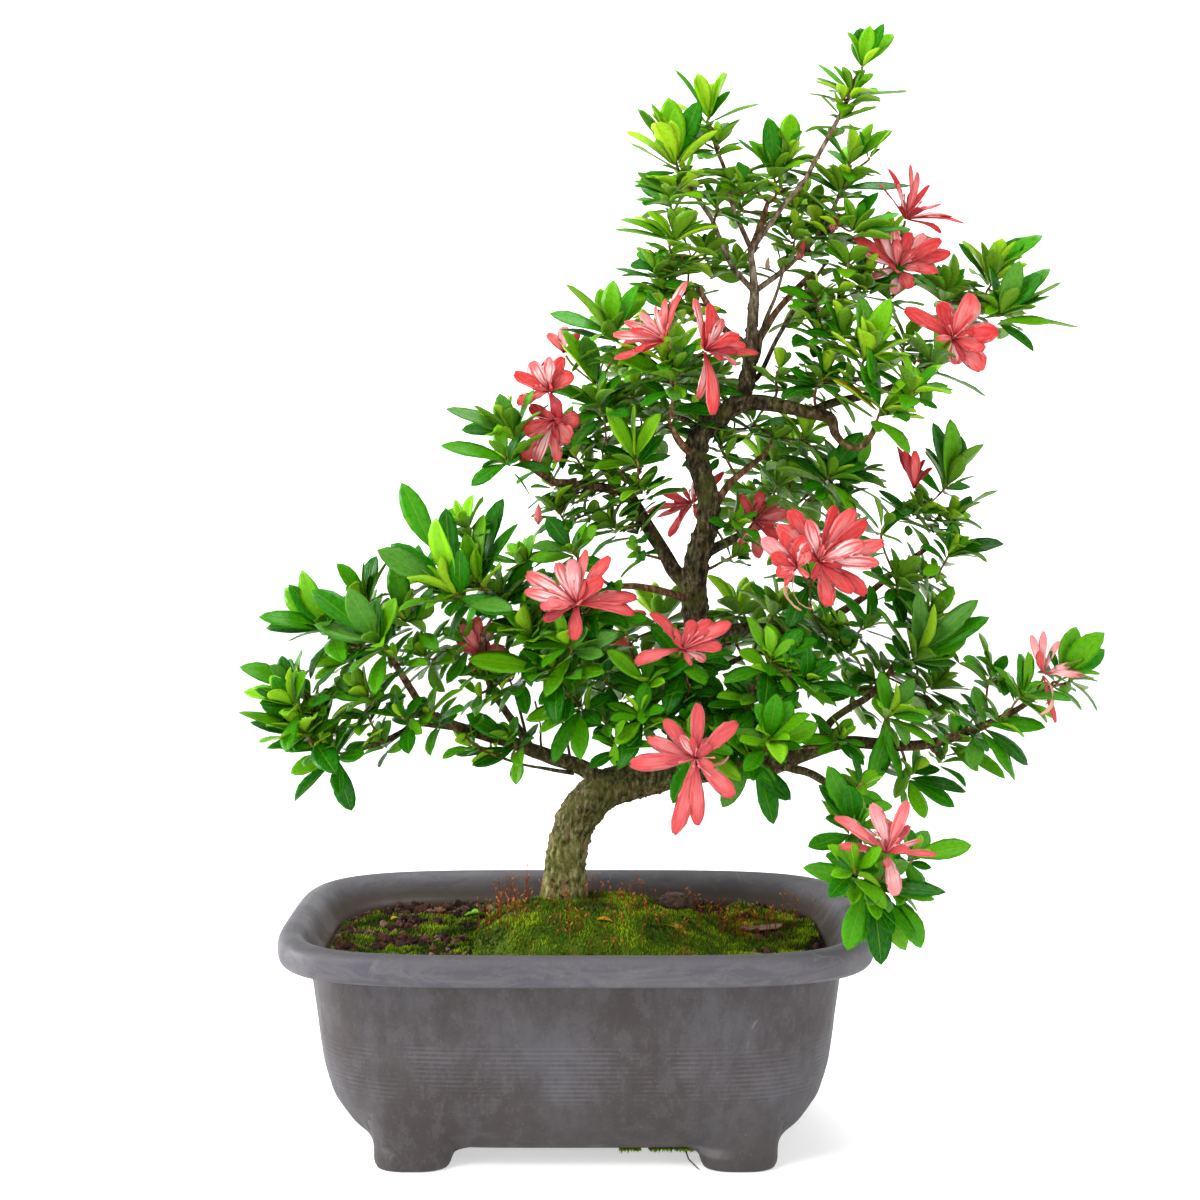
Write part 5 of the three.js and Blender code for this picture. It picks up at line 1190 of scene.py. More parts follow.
# Each flower stands for the CAD node of its name. A bloom is its throat and the way it faces, both in
# (x, z, y) order, its number of stamens, and its petals: where they end in x and z, how far that is
# behind the throat, width and age.
FLOWERS = {
    "flower_low": [((62, 194, -78), (0, 0.1, -1), 7, [
        (28, 191, -4, 7.5, "fresh"), (46, 214, -6, 7, "fresh"), (37, 204, 4, 7, "fresh"),
        (63, 223, -5, 6.5, "fresh"), (84, 213, -6, 7.5, "fresh"), (82, 174, -8, 9, "fresh"),
        (63, 158, -4, 8, "fresh"), (51, 154, -7, 8, "fresh"), (81, 196, 2, 4.5, "wilted"),
        (54, 206, -8, 5, "streaked"), (70, 204, 4, 5, "fresh")])],
    "flower_centre": [((55, 251, -60), (0.35, 0.6, -0.7), 4, [
        (38, 270, -6, 7, "fresh"), (46, 262, 4, 6, "red"), (60, 266, -4, 7, "fresh"),
        (70, 266, -2, 7, "fresh"), (80, 265, -6, 7, "fresh"), (75, 252, -8, 8, "fresh"),
        (66, 245, -4, 6, "streaked"), (30, 244, 2, 6, "fresh")])],
    "flower_left": [((0, 275, -62), (-0.3, 0.6, -0.8), 5, [
        (-26, 290, -2, 8, "streaked"), (-27, 281, -8, 7, "streaked"), (-19, 273, -10, 8, "fresh"),
        (-17, 266, -4, 6, "red"), (-10, 296, 2, 7, "streaked"), (-3, 298, -2, 8, "pale"),
        (5, 303, 2, 5, "fresh"), (17, 299, -2, 6, "fresh"), (13, 288, -6, 8, "fresh"),
        (-1, 256, -8, 7, "fresh"), (14, 279, 4, 6, "streaked"), (31, 278, 6, 9, "fresh"),
        (30, 270, 2, 7, "fresh")])],
    "flower_left_upper": [
        ((-14, 385, -10), (-0.6, 0.3, -0.7), 4, [
            (-32, 394, -2, 6, "fresh"), (-23, 400, 0, 8, "streaked"), (-14, 402, -4, 9, "streaked"),
            (-7, 402, 0, 8, "fresh"), (-2, 393, -4, 8, "fresh"), (-30, 378, -4, 7, "fresh"),
            (-8, 372, -6, 8, "red")]),
        ((-11, 370, -12), (-0.5, -0.3, -0.8), 4, [
            (-29, 348, -4, 7, "fresh"), (-21, 346, -6, 8, "streaked"), (-10, 349, -4, 8, "fresh"),
            (-27, 364, -6, 8, "fresh"), (1, 371, -2, 9, "fresh"), (-3, 360, -6, 9, "fresh"),
            (-24, 377, 0, 7, "red")]),
        ((-6, 404, 2), (-0.3, 0.7, -0.6), 0, [
            (-15, 414, 0, 5, "fresh"), (-6, 418, 2, 5, "pale"), (1, 414, -2, 5, "fresh")])],
    "flower_pair_high": [
        ((46, 411, -44), (-0.6, 0.5, -0.6), 4, [
            (19, 414, -2, 6, "streaked"), (20, 402, 2, 6, "fresh"), (25, 420, -4, 6, "streaked"),
            (33, 425, 0, 5, "pale"), (41, 428, -4, 5, "streaked"), (53, 434, -2, 5, "fresh"),
            (57, 441, 0, 5, "streaked"), (46, 432, 2, 5, "fresh"), (30, 405, -8, 5, "fresh"),
            (24, 409, 2, 4, "fresh"), (37, 421, 4, 4, "streaked"), (28, 416, -6, 4, "fresh")]),
        ((66, 406, -44), (0.6, 0.4, -0.7), 4, [
            (61, 432, 0, 5, "streaked"), (68, 430, -6, 6, "fresh"), (75, 422, -2, 6, "streaked"),
            (84, 413, -6, 7, "fresh"), (93, 404, -4, 6, "fresh"), (82, 398, -8, 5, "streaked"),
            (70, 373, -4, 7, "fresh"), (62, 381, -2, 5, "streaked"), (87, 408, 2, 4.5, "fresh")])],
    "flower_right_mid": [
        ((126, 297, -54), (0.2, 0.2, -1), 8, [
            (110, 323, -4, 9, "fresh"), (104, 315, -8, 8, "fresh"), (143, 324, -4, 9, "fresh"),
            (150, 318, -6, 8, "fresh"), (134, 326, 0, 8, "fresh"), (159, 307, -4, 8, "fresh"),
            (157, 296, -8, 8, "streaked"), (150, 280, -6, 8, "fresh"), (143, 281, -10, 7, "fresh"),
            (131, 274, -6, 8, "fresh"), (149, 307, -12, 7, "streaked"), (120, 318, -10, 7, "streaked")]),
        ((114, 294, -64), (-0.3, 0.2, -1), 6, [
            (96, 309, -4, 7, "pale"), (101, 300, -8, 8, "fresh"), (104, 290, -8, 7, "fresh"),
            (107, 312, -6, 7, "fresh"), (118, 310, -8, 8, "fresh"), (121, 306, -10, 7, "streaked"),
            (118, 267, -6, 3.5, "wilted"), (126, 268, -4, 3, "wilted"), (113, 272, -8, 3, "wilted")])],
    "flower_pair_behind": [
        ((60, 327, 28), (-0.6, 0.3, -0.6), 3, [
            (42, 320, -2, 5, "pale"), (44, 333, -4, 5, "fresh"), (36, 322, 0, 4, "fresh"),
            (70, 346, -2, 5, "fresh"), (76, 343, -4, 5, "fresh"), (64, 340, 0, 5, "streaked"),
            (48, 310, -4, 5, "fresh"), (66, 318, -4, 5, "fresh"), (54, 318, -8, 5, "fresh")]),
        ((92, 318, 24), (0.4, 0.1, -0.9), 4, [
            (80, 322, -4, 6, "fresh"), (84, 331, -2, 6, "fresh"), (95, 333, -4, 6, "fresh"),
            (104, 330, -2, 7, "fresh"), (110, 322, -4, 7, "fresh"), (94, 299, -4, 7, "fresh"),
            (84, 304, -4, 6, "streaked"), (104, 308, -4, 6, "fresh")])],
    "flower_closed": [((175, 334, 4), (-0.1, 1, -0.2), 0, [
        (166, 356, 0, 5, "red"), (170, 354, -4, 4.5, "red"), (175, 354, -3, 5, "fresh"),
        (180, 349, -2, 4.5, "red"), (184, 345, 0, 4.5, "red"), (172, 350, 4, 5, "red")])],
    "flower_pair_top_right": [
        ((169, 473, 18), (0.3, 0.8, -0.4), 3, [
            (155, 491, -2, 3.5, "fresh"), (160, 498, 0, 4, "fresh"), (165, 490, -4, 4, "streaked"),
            (171, 501, -2, 3.5, "fresh"), (175, 497, 0, 3.5, "fresh"), (181, 490, -2, 4, "fresh"),
            (187, 481, -4, 5, "fresh"), (199, 471, -2, 5, "fresh"), (193, 474, 0, 5, "streaked"),
            (187, 466, -4, 5, "fresh"), (178, 478, -6, 5, "fresh")]),
        ((165, 448, 8), (0.1, 0.3, -0.95), 4, [
            (142, 464, -2, 6, "fresh"), (147, 457, -4, 6, "streaked"), (149, 470, 0, 6, "fresh"),
            (156, 467, -2, 6, "pale"), (163, 469, -4, 6, "streaked"), (171, 466, -2, 6, "fresh"),
            (179, 465, 0, 6, "pale"), (187, 462, -2, 7, "fresh"), (192, 456, -2, 7, "fresh"),
            (186, 446, -6, 6, "fresh"), (152, 443, -6, 6, "streaked"), (163, 435, -4, 6, "pale"),
            (172, 438, -6, 6, "fresh")])],
    "flower_right_upper": [((194, 412, -18), (0.3, 0.1, -1), 5, [
        (169, 427, -6, 10, "fresh"), (202, 435, -6, 11.5, "fresh"), (217, 416, -8, 11.5, "fresh"),
        (209, 396, -8, 10, "fresh"), (187, 430, 0, 8, "fresh"), (196, 399, -6, 8, "streaked"),
        (210, 406, -12, 8, "fresh")])],
    "flower_hanging": [((162, 144, -126), (0.2, 0.6, -0.75), 4, [
        (135, 162, -4, 6.5, "fresh"), (154, 170, -2, 6.5, "pale"), (145, 158, 2, 4.5, "streaked"),
        (173, 171, -4, 6, "fresh"), (164, 160, 2, 5, "fresh"), (174, 158, -2, 4.5, "red"),
        (136, 147, 0, 4.5, "fresh"), (167, 121, -10, 7.5, "pale"), (188, 143, 4, 3, "fresh"),
        (180, 150, 2, 3.5, "streaked")])],
    "flower_faded_end": [((243, 238, -58), (-0.3, 0.7, -0.5), 0, [
        (237, 258, -2, 4, "pale"), (243, 260, 0, 3.5, "pale"), (241, 250, -4, 3.5, "fresh"),
        (251, 255, 2, 3, "pale"), (264, 237, -2, 5, "pale"), (258, 243, 2, 3.5, "pale"),
        (240, 212, -4, 3, "wilted"), (250, 213, -2, 2.5, "red"), (244, 220, 0, 2.5, "wilted")])],
    "flower_back_low": [((12, 262, 116), (-0.2, 0.3, 1), 6, [
        (-10, 276, 4, 7, "fresh"), (4, 288, 6, 8, "fresh"), (22, 286, 4, 7, "fresh"),
        (36, 270, 6, 8, "fresh"), (30, 248, 4, 8, "streaked"), (10, 238, 6, 8, "fresh"),
        (-10, 248, 4, 7, "fresh"), (14, 276, 12, 6, "streaked")])],
}
HIDDEN_BLOOM = ((-50, 250, -30), (-0.3, 0.5, -0.8), 2, [
    (-60, 264, -4, 6, "fresh"), (-52, 268, -2, 6, "fresh"), (-44, 262, 0, 6, "streaked"),
    (-62, 252, -4, 6, "fresh"), (-56, 240, -2, 6, "fresh"), (-44, 244, 0, 6, "fresh"),
    (-38, 252, -2, 6, "fresh")])
# Buds: base (x, z, y), the way that they point (x, y, z), their length and their petals' age.
BUDS = [
    ((-20, 316, -16), (0, 0.2, 1), 11, "fresh"), ((114, 452, 8), (0.3, -0.2, 1), 11, "red"),
    ((131, 466, 4), (0.3, 0, 0.9), 11, "red"), ((98, 447, 16), (0.1, 0, 1), 7, "wilted"),
]

# ---------------------------------------------------------------------------
# Lists: pot and ground, in millimetres
# ---------------------------------------------------------------------------

POT_POWER = 4.25  # of the rounded rectangle that its level outlines are
POT_DEPTH_LESS = 40  # how much less half its depth is than half its length
POT_FLOOR_HALF = 90
# Its profile: half its length and the height, from the floor up the outside and down the inside.
POT_OUTSIDE = [
    (96, 7), (104, 7.6), (109, 9.5), (113, 12.8), (116.6, 17), (119.8, 22), (122.5, 26.6), (124.8, 31),
    (127.5, 40), (129.5, 48.6), (131, 60), (132.6, 73.8), (134.6, 90), (135.4, 97.2), (136.4, 98.4),
    (139, 98.9), (147, 99.2), (150.2, 101.6), (151, 107), (150.1, 111.4), (147.6, 113.6), (144, 114.3),
]
POT_INSIDE = [
    (140.6, 113.2), (138.2, 110.6), (136, 106.6), (132.5, 101.5), (129, 97), (126, 75), (124.5, 60),
    (121.5, 44), (117.5, 33), (112, 24), (104, 16.5), (90, 12),
]
POT_WALL_STEP = (0.6, 2.2)  # between rings outside and inside
POT_SIDES = 160
POT_MIDDLE_WALL = ([101, 108, 114, 119, 123, 127], [10.5, 13, 19, 27, 38, 54])
SOIL_HALF = 128.7
SOIL_SIDES = 150
SOIL_RINGS = 56
FOOT_X = 81
FOOT_BACK = 46
# A foot's rings: half its length, how far its front stands from the pot's middle, and the height.
FOOT_RINGS = [(15.6, 77, 0.9), (16.8, 78.3, 0), (18.2, 79.4, 0.6), (19, 80, 2.2)]
FOOT_RINGS += [(19.4, 80.2, height) for height in range(4, 45, 2)]
FOOT_SIDE = (19.4, 17.1)
FILLET = 8  # how far the soft join of a foot and the wall reaches
FILLET_INSIDE = -4  # how deep inside the other body a spot still takes part in it
FOOT_FADE = 60  # above which the wall takes nothing from the feet
FOOT_POWER = 3
FOOT_SIDES = 64
DRAIN_HOLE = {"x": 58, "radius": 12}
DRAIN_CUTTER = {"height": 30, "middle": 9, "sides": 48}
SCREEN = {"side": 38, "edge": 0.6, "middle": 12.75, "pitch": 3.45, "wire": 0.275, "weave": 0.18}
RIB_BANDS = ((37, 48.5), (56, 65))
RIB_HEIGHT = 0.1
SOIL_TOP = 98
MOUND = {"x": 14, "y": -8, "half_length": 69, "half_depth": 66, "height": 24, "lean": -10}
# Its height over how far out a spot is, both as shares of the whole.
MOUND_SHARES = ([0.05, 0.2, 0.45, 0.74, 0.93, 1.0], [1.0, 0.97, 0.85, 0.55, 0.22, 0.0])
MOUND_SIDES = 110
MOUND_RINGS = 46
MOSS_TUFTS = 28000
GRAVEL = {"count": 5200, "shapes": 24, "least": 0.5, "most": 3.4, "large": 1.8}
GRAVEL_IN_MOSS = 0.94  # how much of it full moss keeps away
ROCK_CLEAR = 14  # how far round the rock no crumbs lie

# ---------------------------------------------------------------------------
# Wood
# ---------------------------------------------------------------------------


def noise_at(x, y, z=0.0):
    """Smooth noise, about -1 to 1."""
    return noise.noise(Vector((x, y, z)))


KNOT = on_pot(7, -12, 172) / MM


def trunk_relief(point, ring, angle):
    """Flaky ridges along the trunk, a knot, and roots that swell at its foot."""
    x, y = math.cos(angle), math.sin(angle)
    spot = point / MM
    flakes = noise.turbulence(Vector((0.42 * spot.x, 0.42 * spot.y, 0.22 * spot.z)), 4, False)
    plates = smooth(0.34, 0.42, flakes) + smooth(0.5, 0.56, flakes)
    lumps = noise_at(1.3 * x, 1.3 * y, 0.022 * ring + 5)
    foot = 1 - smooth(104, 150, spot.z)
    roots = (max(0, math.cos(5 * angle + 0.6)) ** 2 - 0.25) * foot * 3.0
    knot = 1.6 * math.exp(-((spot - KNOT).length / 6) ** 2)
    return (0.35 * (plates - 1) + 0.5 * (flakes - 0.45) + 0.9 * lumps + roots + knot) * MM


def branch_relief(point, ring, angle):
    """Soft bumps round a branch."""
    x, y = math.cos(angle), math.sin(angle)
    return (0.5 * noise.turbulence(Vector((2.4 * x, 2.4 * y, 0.16 * ring)), 2, False) - 0.2) * MM * 0.8


def twig_relief(point, ring, angle):
    return 0.18 * MM * noise.noise(point / MM * 0.6)


def limb(shell, line, sides, per_span, relief, old=0.0, young=0.0):
    """Wood along a list of x, z, y and thickness. Returns its (point, way, radius) entries."""
    values = spline(line, per_span)
    centres = [at(x, z, y) for x, z, y, _ in values]
    radii = [width / 2 * MM for width in values[:, 3]]
    shades = [old + (young - old) * i / (len(centres) - 1) for i in range(len(centres))]
    tube(shell, centres, radii, sides, relief, shades)
    return [(b, (b - a).normalized(), radius) for a, b, radius in zip(centres, centres[1:], radii[1:])]


BOW_PULL = 0.26  # how far a curve keeps the ways of its ends, as a share of its length


def bow(start, start_way, end, end_way, steps):
    """Points on a curve that leaves start along start_way and reaches end along end_way."""
    reach = (end - start).length
    first = start + start_way * reach * BOW_PULL
    second = end - end_way * reach * BOW_PULL
    points = []
    for k in range(steps + 1):
        t = k / steps
        s = 1 - t
        points.append(start * s ** 3 + first * 3 * s * s * t + second * 3 * s * t * t + end * t ** 3)
    return points


TWIG_SIDES = 7
TWIG_STEPS = 9
TWIG_END = 0.7 * MM  # the radius at its tip
TWIG_ROOT = (0.68, 0.009)  # mm, the radius at its root and what each mm of its reach adds
TWIG_WANDER = 0.0012  # metres, how far its line strays


def twig(shell, rng, root, end, end_way, stoutest=9 * MM):
    """A young shoot from a root entry to end. Returns its own entries, for further shoots."""
    start, way, radius = root
    straight = (end - start).normalized()
    leave = (way * 0.35 + straight).normalized()
    line = bow(start, leave, end, end_way, TWIG_STEPS)
    reach = (end - start).length
    thick = min(radius * 0.8, (TWIG_ROOT[0] + TWIG_ROOT[1] * reach / MM) * MM, stoutest)
    wander = Vector([rng.uniform(-1, 1) for _ in range(3)]) * TWIG_WANDER
    radii = []
    for k in range(len(line)):
        t = k / TWIG_STEPS
        line[k] = line[k] + wander * math.sin(math.pi * t * 2)
        radii.append(thick + (TWIG_END - thick) * t)
    old = 0.75 - smooth(1.2, 2.6, thick / MM) * 0.5
    shades = [old + (1 - old) * k / TWIG_STEPS for k in range(len(line))]
    tube(shell, line, radii, TWIG_SIDES, twig_relief, shades)
    ways = [(b - a).normalized() for a, b in zip(line, line[1:])]
    return list(zip(line[1:], ways, radii[1:]))


def nearest_root(roots, end, end_way, turning=1.1):
    """The wood entry that a shoot ending at end along end_way would come from. turning is what a bend
    in it costs."""
    def cost(root):
        step = end - root[0]
        distance = max(step.length, 1e-6)
        return distance * (1 + turning * (1 - step.dot(end_way) / distance))
    return min(roots, key=cost)


STEM_THICK = (5.2, 3.0)  # mm, of a spray's own wood, at its foot and its end
TWIG_LEAF_AT = (0.3, 0.45, 0.58, 0.7, 0.82)  # shares of a twig's length
TWIG_BARE = 7  # mm from its root
FILL_REACH = (14, 30)  # mm, how far apart two whorls are that get a small one between them
FILL_STRAY = 5  # mm, how far it stands off the middle
FILL_LENGTH = (14, 21)  # mm, of its leaves


def between(entries, rng):
    """Small whorls between the whorls of a spray that stand near each other."""
    made = []
    for k, first in enumerate(entries):
        for second in entries[k + 1:]:
            if FILL_REACH[0] < math.dist(first[:3], second[:3]) < FILL_REACH[1]:
                middle = [(a + b) / 2 + rng.uniform(-FILL_STRAY, FILL_STRAY)
                          for a, b in zip(first[:3], second[:3])]
                made.append((*middle, "few", rng.uniform(*FILL_LENGTH)))
    return made


def grow_spray(name, wood, roots):
    """Makes the leaves piece of a spray and adds its shoots to the wood that carries it. The whorl that
    is nearest to any wood comes first. Returns the entries of that wood and of the shoots."""
    rng = random.Random(name)
    leaves = Shell()
    stem, entries = SPRAYS[name]
    entries = entries + between(entries, rng)
    own = list(roots)
    if len(stem) > 1:
        loss = STEM_THICK[0] - STEM_THICK[1]
        line = [(*spot, STEM_THICK[0] - loss * i / (len(stem) - 1)) for i, spot in enumerate(stem)]
        own += limb(wood, line, 9, 5, branch_relief, 0.2, 0.6)

    def gap(entry):
        """How far a whorl is from the wood that its shoot would leave."""
        return (entry[0] - nearest_root(own, entry[0], entry[1])[0]).length

    left = []
    for x, z, y, kind, length, *tips in entries:
        centre = at(x, z, y)
        left.append((centre, shoot_axis(centre), kind, length, tips[0] if tips else ()))
    while left:
        entry = min(left, key=gap)
        left.remove(entry)
        centre, axis, kind, length, tips = entry
        shoots = twig(wood, rng, nearest_root(own, centre, axis), centre, axis)
        own += shoots[:-2]
        whorl(leaves, wood, rng, centre, axis, kind, length, tips)
        side_leaves(leaves, rng, shoots, length)
    leaves.piece("leaves" + name[5:], LEAF, "leaf", [name])
    return own


def side_leaves(leaves, rng, shoots, length):
    """Single leaves along a shoot that is long enough."""
    reach = (shoots[-1][0] - shoots[0][0]).length / MM
    for share in TWIG_LEAF_AT:
        if reach * share < TWIG_BARE or rng.random() < 0.2:
            continue
        spot, way, radius = shoots[min(int(share * len(shoots)), len(shoots) - 1)]
        side = across(way)
        side.rotate(Matrix.Rotation(rng.uniform(0, FULL_TURN), 3, way))
        along = (side + way * rng.uniform(0.3, 1.0) + UP * 0.15).normalized()
        size = length * MM * rng.uniform(0.5, 0.85)
        age = rng.choice(("dark", "mid"))
        leaf(leaves, rng, spot + side * radius * 0.8, along, way + UP * 0.6, size, age)


# ---------------------------------------------------------------------------
# Flowers
# ---------------------------------------------------------------------------


PEDICEL = 0.75 * MM  # a flower stalk's greatest radius
PEDICEL_TURNING = 0.35
PETAL_WIDER = 1.06
PETAL_OFF = 0.0008  # metres, how far a petal starts from the throat's middle
INNER_PETALS = 5
STAMEN_LENGTH = (12, 19)  # mm


def inner_petals(shell, rng, middle, face, longest):
    """Short curled petals round the throat."""
    for k in range(INNER_PETALS):
        around = across(face)
        around.rotate(Matrix.Rotation(FULL_TURN * (k + rng.uniform(-0.3, 0.3)) / INNER_PETALS, 3, face))
        along = (around + face * rng.uniform(0.5, 1.3)).normalized()
        reach = longest * rng.uniform(0.35, 0.6)
        age = rng.choice(("fresh", "fresh", "red"))
        width = rng.uniform(3, 5.5) * MM
        petal(shell, rng, middle, along, face, reach, width, age, rng.uniform(-0.2, 0.9))


def outer_petal(shell, rng, middle, end, face, width, age):
    """One petal from the throat to its listed end. A wilted one hangs on edge and curls."""
    along = end - middle
    reach = along.length
    along.normalize()
    up = face - along * face.dot(along)
    if up.length < 0.2:
        up = FRONT - along * FRONT.dot(along)
    bend = rng.uniform(0.2, 0.8)
    if age == "wilted":
        up = along.cross(face) * rng.choice((-1, 1))
        bend = rng.uniform(1.5, 2.5)
    broad = width * PETAL_WIDER * rng.uniform(0.92, 1.18) * MM
    petal(shell, rng, middle + along * PETAL_OFF, along, up, reach, broad, age, bend)


def bloom(shell, rng, throat, face, stamens, petals):
    """Petals to the ends that the list gives, with short curled ones and stamens inside them."""
    middle = at(*throat)
    ends = [at(x, z, throat[2] + behind) for x, z, behind, _, _ in petals]
    if stamens:
        inner_petals(shell, rng, middle, face, max((end - middle).length for end in ends))
    for end, (_, _, _, width, age) in zip(ends, petals):
        outer_petal(shell, rng, middle, end, face, width, age)
    for _ in range(stamens):
        swing = Vector([rng.uniform(-0.5, 0.5) for _ in range(3)])
        stamen(shell, rng, middle, (face + swing).normalized(), rng.uniform(*STAMEN_LENGTH) * MM)


def flower(name, blooms, wood, roots, replaced):
    """The piece of one or more blooms, each on a stalk from the nearest wood."""
    rng = random.Random(name)
    shell = Shell()
    for throat, face, stamens, petals in blooms:
        face = Vector((face[0], face[2], face[1])).normalized()
        middle = at(*throat)
        root = nearest_root(roots, middle, face, PEDICEL_TURNING)
        twig(wood, rng, root, middle - face * MM, face, PEDICEL)
        bloom(shell, rng, throat, face, stamens, petals)
    shell.piece(name, PETAL, "petal", replaced)


# A bud's line: shares of its length, and its half width there as a share of its greatest.
BUD_SHAPE = ((0, 0.2), (0.1, 0.5), (0.25, 0.82), (0.42, 1.0), (0.6, 0.92), (0.76, 0.66), (0.9, 0.34),
             (1, 0.06))
BUD_SCALES = 5
BUD_SPOTS = {"fresh": (0.25, 0.12), "red": (0.72, 0.62), "wilted": (0.25, 0.88)}


def bud(shell, rng, base, way, length, age):
    """A closed bud: petals rolled round one another, in brown scales at its foot."""
    way = Vector(way).normalized()
    start = at(*base)
    radius = 0.17 * length * MM

    def rolled(point, ring, angle):
        return 0.16 * radius * math.cos(3 * angle + 0.55 * ring) * BUD_SHAPE[ring][1]

    line = [start + way * share * length * MM for share, _ in BUD_SHAPE]
    tube(shell, line, [radius * width for _, width in BUD_SHAPE], 18, rolled, spot=BUD_SPOTS[age])
    side = across(way)
    for _ in range(BUD_SCALES):
        side.rotate(Matrix.Rotation(FULL_TURN / BUD_SCALES, 3, way))
        along = (way + side * 0.42).normalized()
        petal(shell, rng, start, along, side, 0.42 * length * MM, 0.3 * length * MM, "wilted", -0.5)


# ---------------------------------------------------------------------------
# Pot
# ---------------------------------------------------------------------------


def ring(radius, depth, height, sides, power, x=0.0, y=0.0):
    """One level outline of a rounded rectangle."""
    points = []
    for k in range(sides):
        angle = FULL_TURN * k / sides
        c, s = math.cos(angle), math.sin(angle)
        reach = (abs(c) ** power + abs(s) ** power) ** (-1 / power)
        points.append(on_pot(x + radius * c * reach, y + depth * s * reach, height))
    return points


def stack(shell, rings):
    """A closed body over rings of as many points each, the first at its underside."""
    sides = len(rings[0])
    bottom, top = end_faces(len(rings), sides)
    shell.add([point for one in rings for point in one], [bottom, *wall_faces(len(rings), sides), top])


def dense(profile, step):
    """The same profile as points on a smooth line, about a step apart."""
    line = spline(profile, 24)
    length = np.concatenate([[0], np.cumsum(np.hypot(*np.diff(line, axis=0).T))])
    spots = np.linspace(0, length[-1], int(length[-1] / step) + 1)
    return np.column_stack([np.interp(spots, length, line[:, 0]), np.interp(spots, length, line[:, 1])])


def pot_depth(radius):
    """Half the depth of the pot's level outline that is twice radius long."""
    if radius > POT_FLOOR_HALF:
        return radius - POT_DEPTH_LESS
    return radius * (POT_FLOOR_HALF - POT_DEPTH_LESS) / POT_FLOOR_HALF


def rib(height):
    """How far the pot's fine ribs stand out at a height."""
    inside = sum(smooth(low - 1, low + 1, height) * (1 - smooth(high - 1, high + 1, height))
                 for low, high in RIB_BANDS)
    return RIB_HEIGHT * inside * math.cos(FULL_TURN * height / RIB_PITCH)


def wall_radius(x, y):
    """Half the length of the pot's level outline that runs through a spot, found by halving."""
    low, high = POT_DEPTH_LESS + 1, 160.0
    for _ in range(24):
        half = (low + high) / 2
        if abs(x / half) ** POT_POWER + abs(y / (half - POT_DEPTH_LESS)) ** POT_POWER > 1:
            low = half
        else:
            high = half
    return high


def wall_height(x, y):
    """How high the middle of the pot's wall runs over a spot under it."""
    return float(np.interp(wall_radius(x, y), *POT_MIDDLE_WALL))


def from_foot(x, y):
    """About how far a spot is from the side of the nearest foot, and the way straight off that side."""
    across_x = abs(x) - FOOT_X
    across_y = abs(y) - FOOT_BACK - FOOT_SIDE[1]
    parts = (abs(across_x) / FOOT_SIDE[0], abs(across_y) / FOOT_SIDE[1])
    share = max((parts[0] ** FOOT_POWER + parts[1] ** FOOT_POWER) ** (1 / FOOT_POWER), 0.05)
    steep_x = math.copysign(parts[0] ** 2 / FOOT_SIDE[0], across_x * x)
    steep_y = math.copysign(parts[1] ** 2 / FOOT_SIDE[1], across_y * y)
    steep = math.hypot(steep_x, steep_y) or 1.0
    return math.hypot(across_x, across_y) * (1 - 1 / share), (steep_x / steep, steep_y / steep)


WALL_LINE = dense(POT_OUTSIDE[:16], POT_WALL_STEP[0])
WALL_NORMAL = np.gradient(WALL_LINE, axis=0)[:, ::-1] * (1, -1)
WALL_NORMAL /= np.linalg.norm(WALL_NORMAL, axis=1)[:, None]


def nearest_wall(radius, height):
    """The index of the point of the wall's profile that is nearest."""
    return np.hypot(*(WALL_LINE - (radius, height)).T).argmin()


def from_wall(spot):
    """How far a spot is outside the pot's wall. It is less than nothing inside."""
    here = np.array([wall_radius(spot.x, spot.y), spot.z])
    nearest = nearest_wall(*here)
    return float((here - WALL_LINE[nearest]) @ WALL_NORMAL[nearest])


def stand_out(spot, way, inside):
    """How far a spot moves along way to lie on the soft join of the wall and a foot, in a few steps
    that get closer. inside is how far the spot is off the other body."""
    out = 0.0
    for _ in range(5):
        here = spot + way * out
        wall, foot = from_wall(here), from_foot(here.x, here.y)[0]
        near = max(FILLET - abs(wall - foot), 0) / FILLET
        out -= min(wall, foot) - near * near * FILLET / 4
    return min(max(out, 0), 0.4 * FILLET) * smooth(FILLET_INSIDE, 0, inside)


def cut(made, cutters):
    """Take the cutters out of a piece for good."""
    for cutter in cutters:
        change = made.modifiers.new("cut", "BOOLEAN")
        change.object = cutter
        change.operation = "DIFFERENCE"
        change.solver = "EXACT"
    evaluated = made.evaluated_get(bpy.context.evaluated_depsgraph_get())
    mesh = bpy.data.meshes.new_from_object(evaluated)
    made.modifiers.clear()
    made.data = mesh
    for cutter in cutters:
        bpy.data.objects.remove(cutter)


def foot_rings(end, side):
    """Rings of one foot, which take the soft join with the wall and end inside it."""
    rings = []
    for half_length, front, height in FOOT_RINGS:
        half_depth = (front - FOOT_BACK) / 2
        y = side * (front + FOOT_BACK) / 2
        rings.append(ring(half_length, half_depth, height, FOOT_SIDES, FOOT_POWER, end * FOOT_X, y))
    for point in (point for one in rings for point in one):
        spot = (point - POT_MIDDLE) / MM
        way = Vector((*from_foot(spot.x, spot.y)[1], 0))
        gap = from_wall(spot)
        if FILLET_INSIDE < gap < FILLET:
            spot += way * stand_out(spot, way, gap) * smooth(1, 9, spot.z)
        spot.z = min(spot.z, wall_height(spot.x, spot.y))
        point.xyz = POT_MIDDLE + spot * MM
    return rings


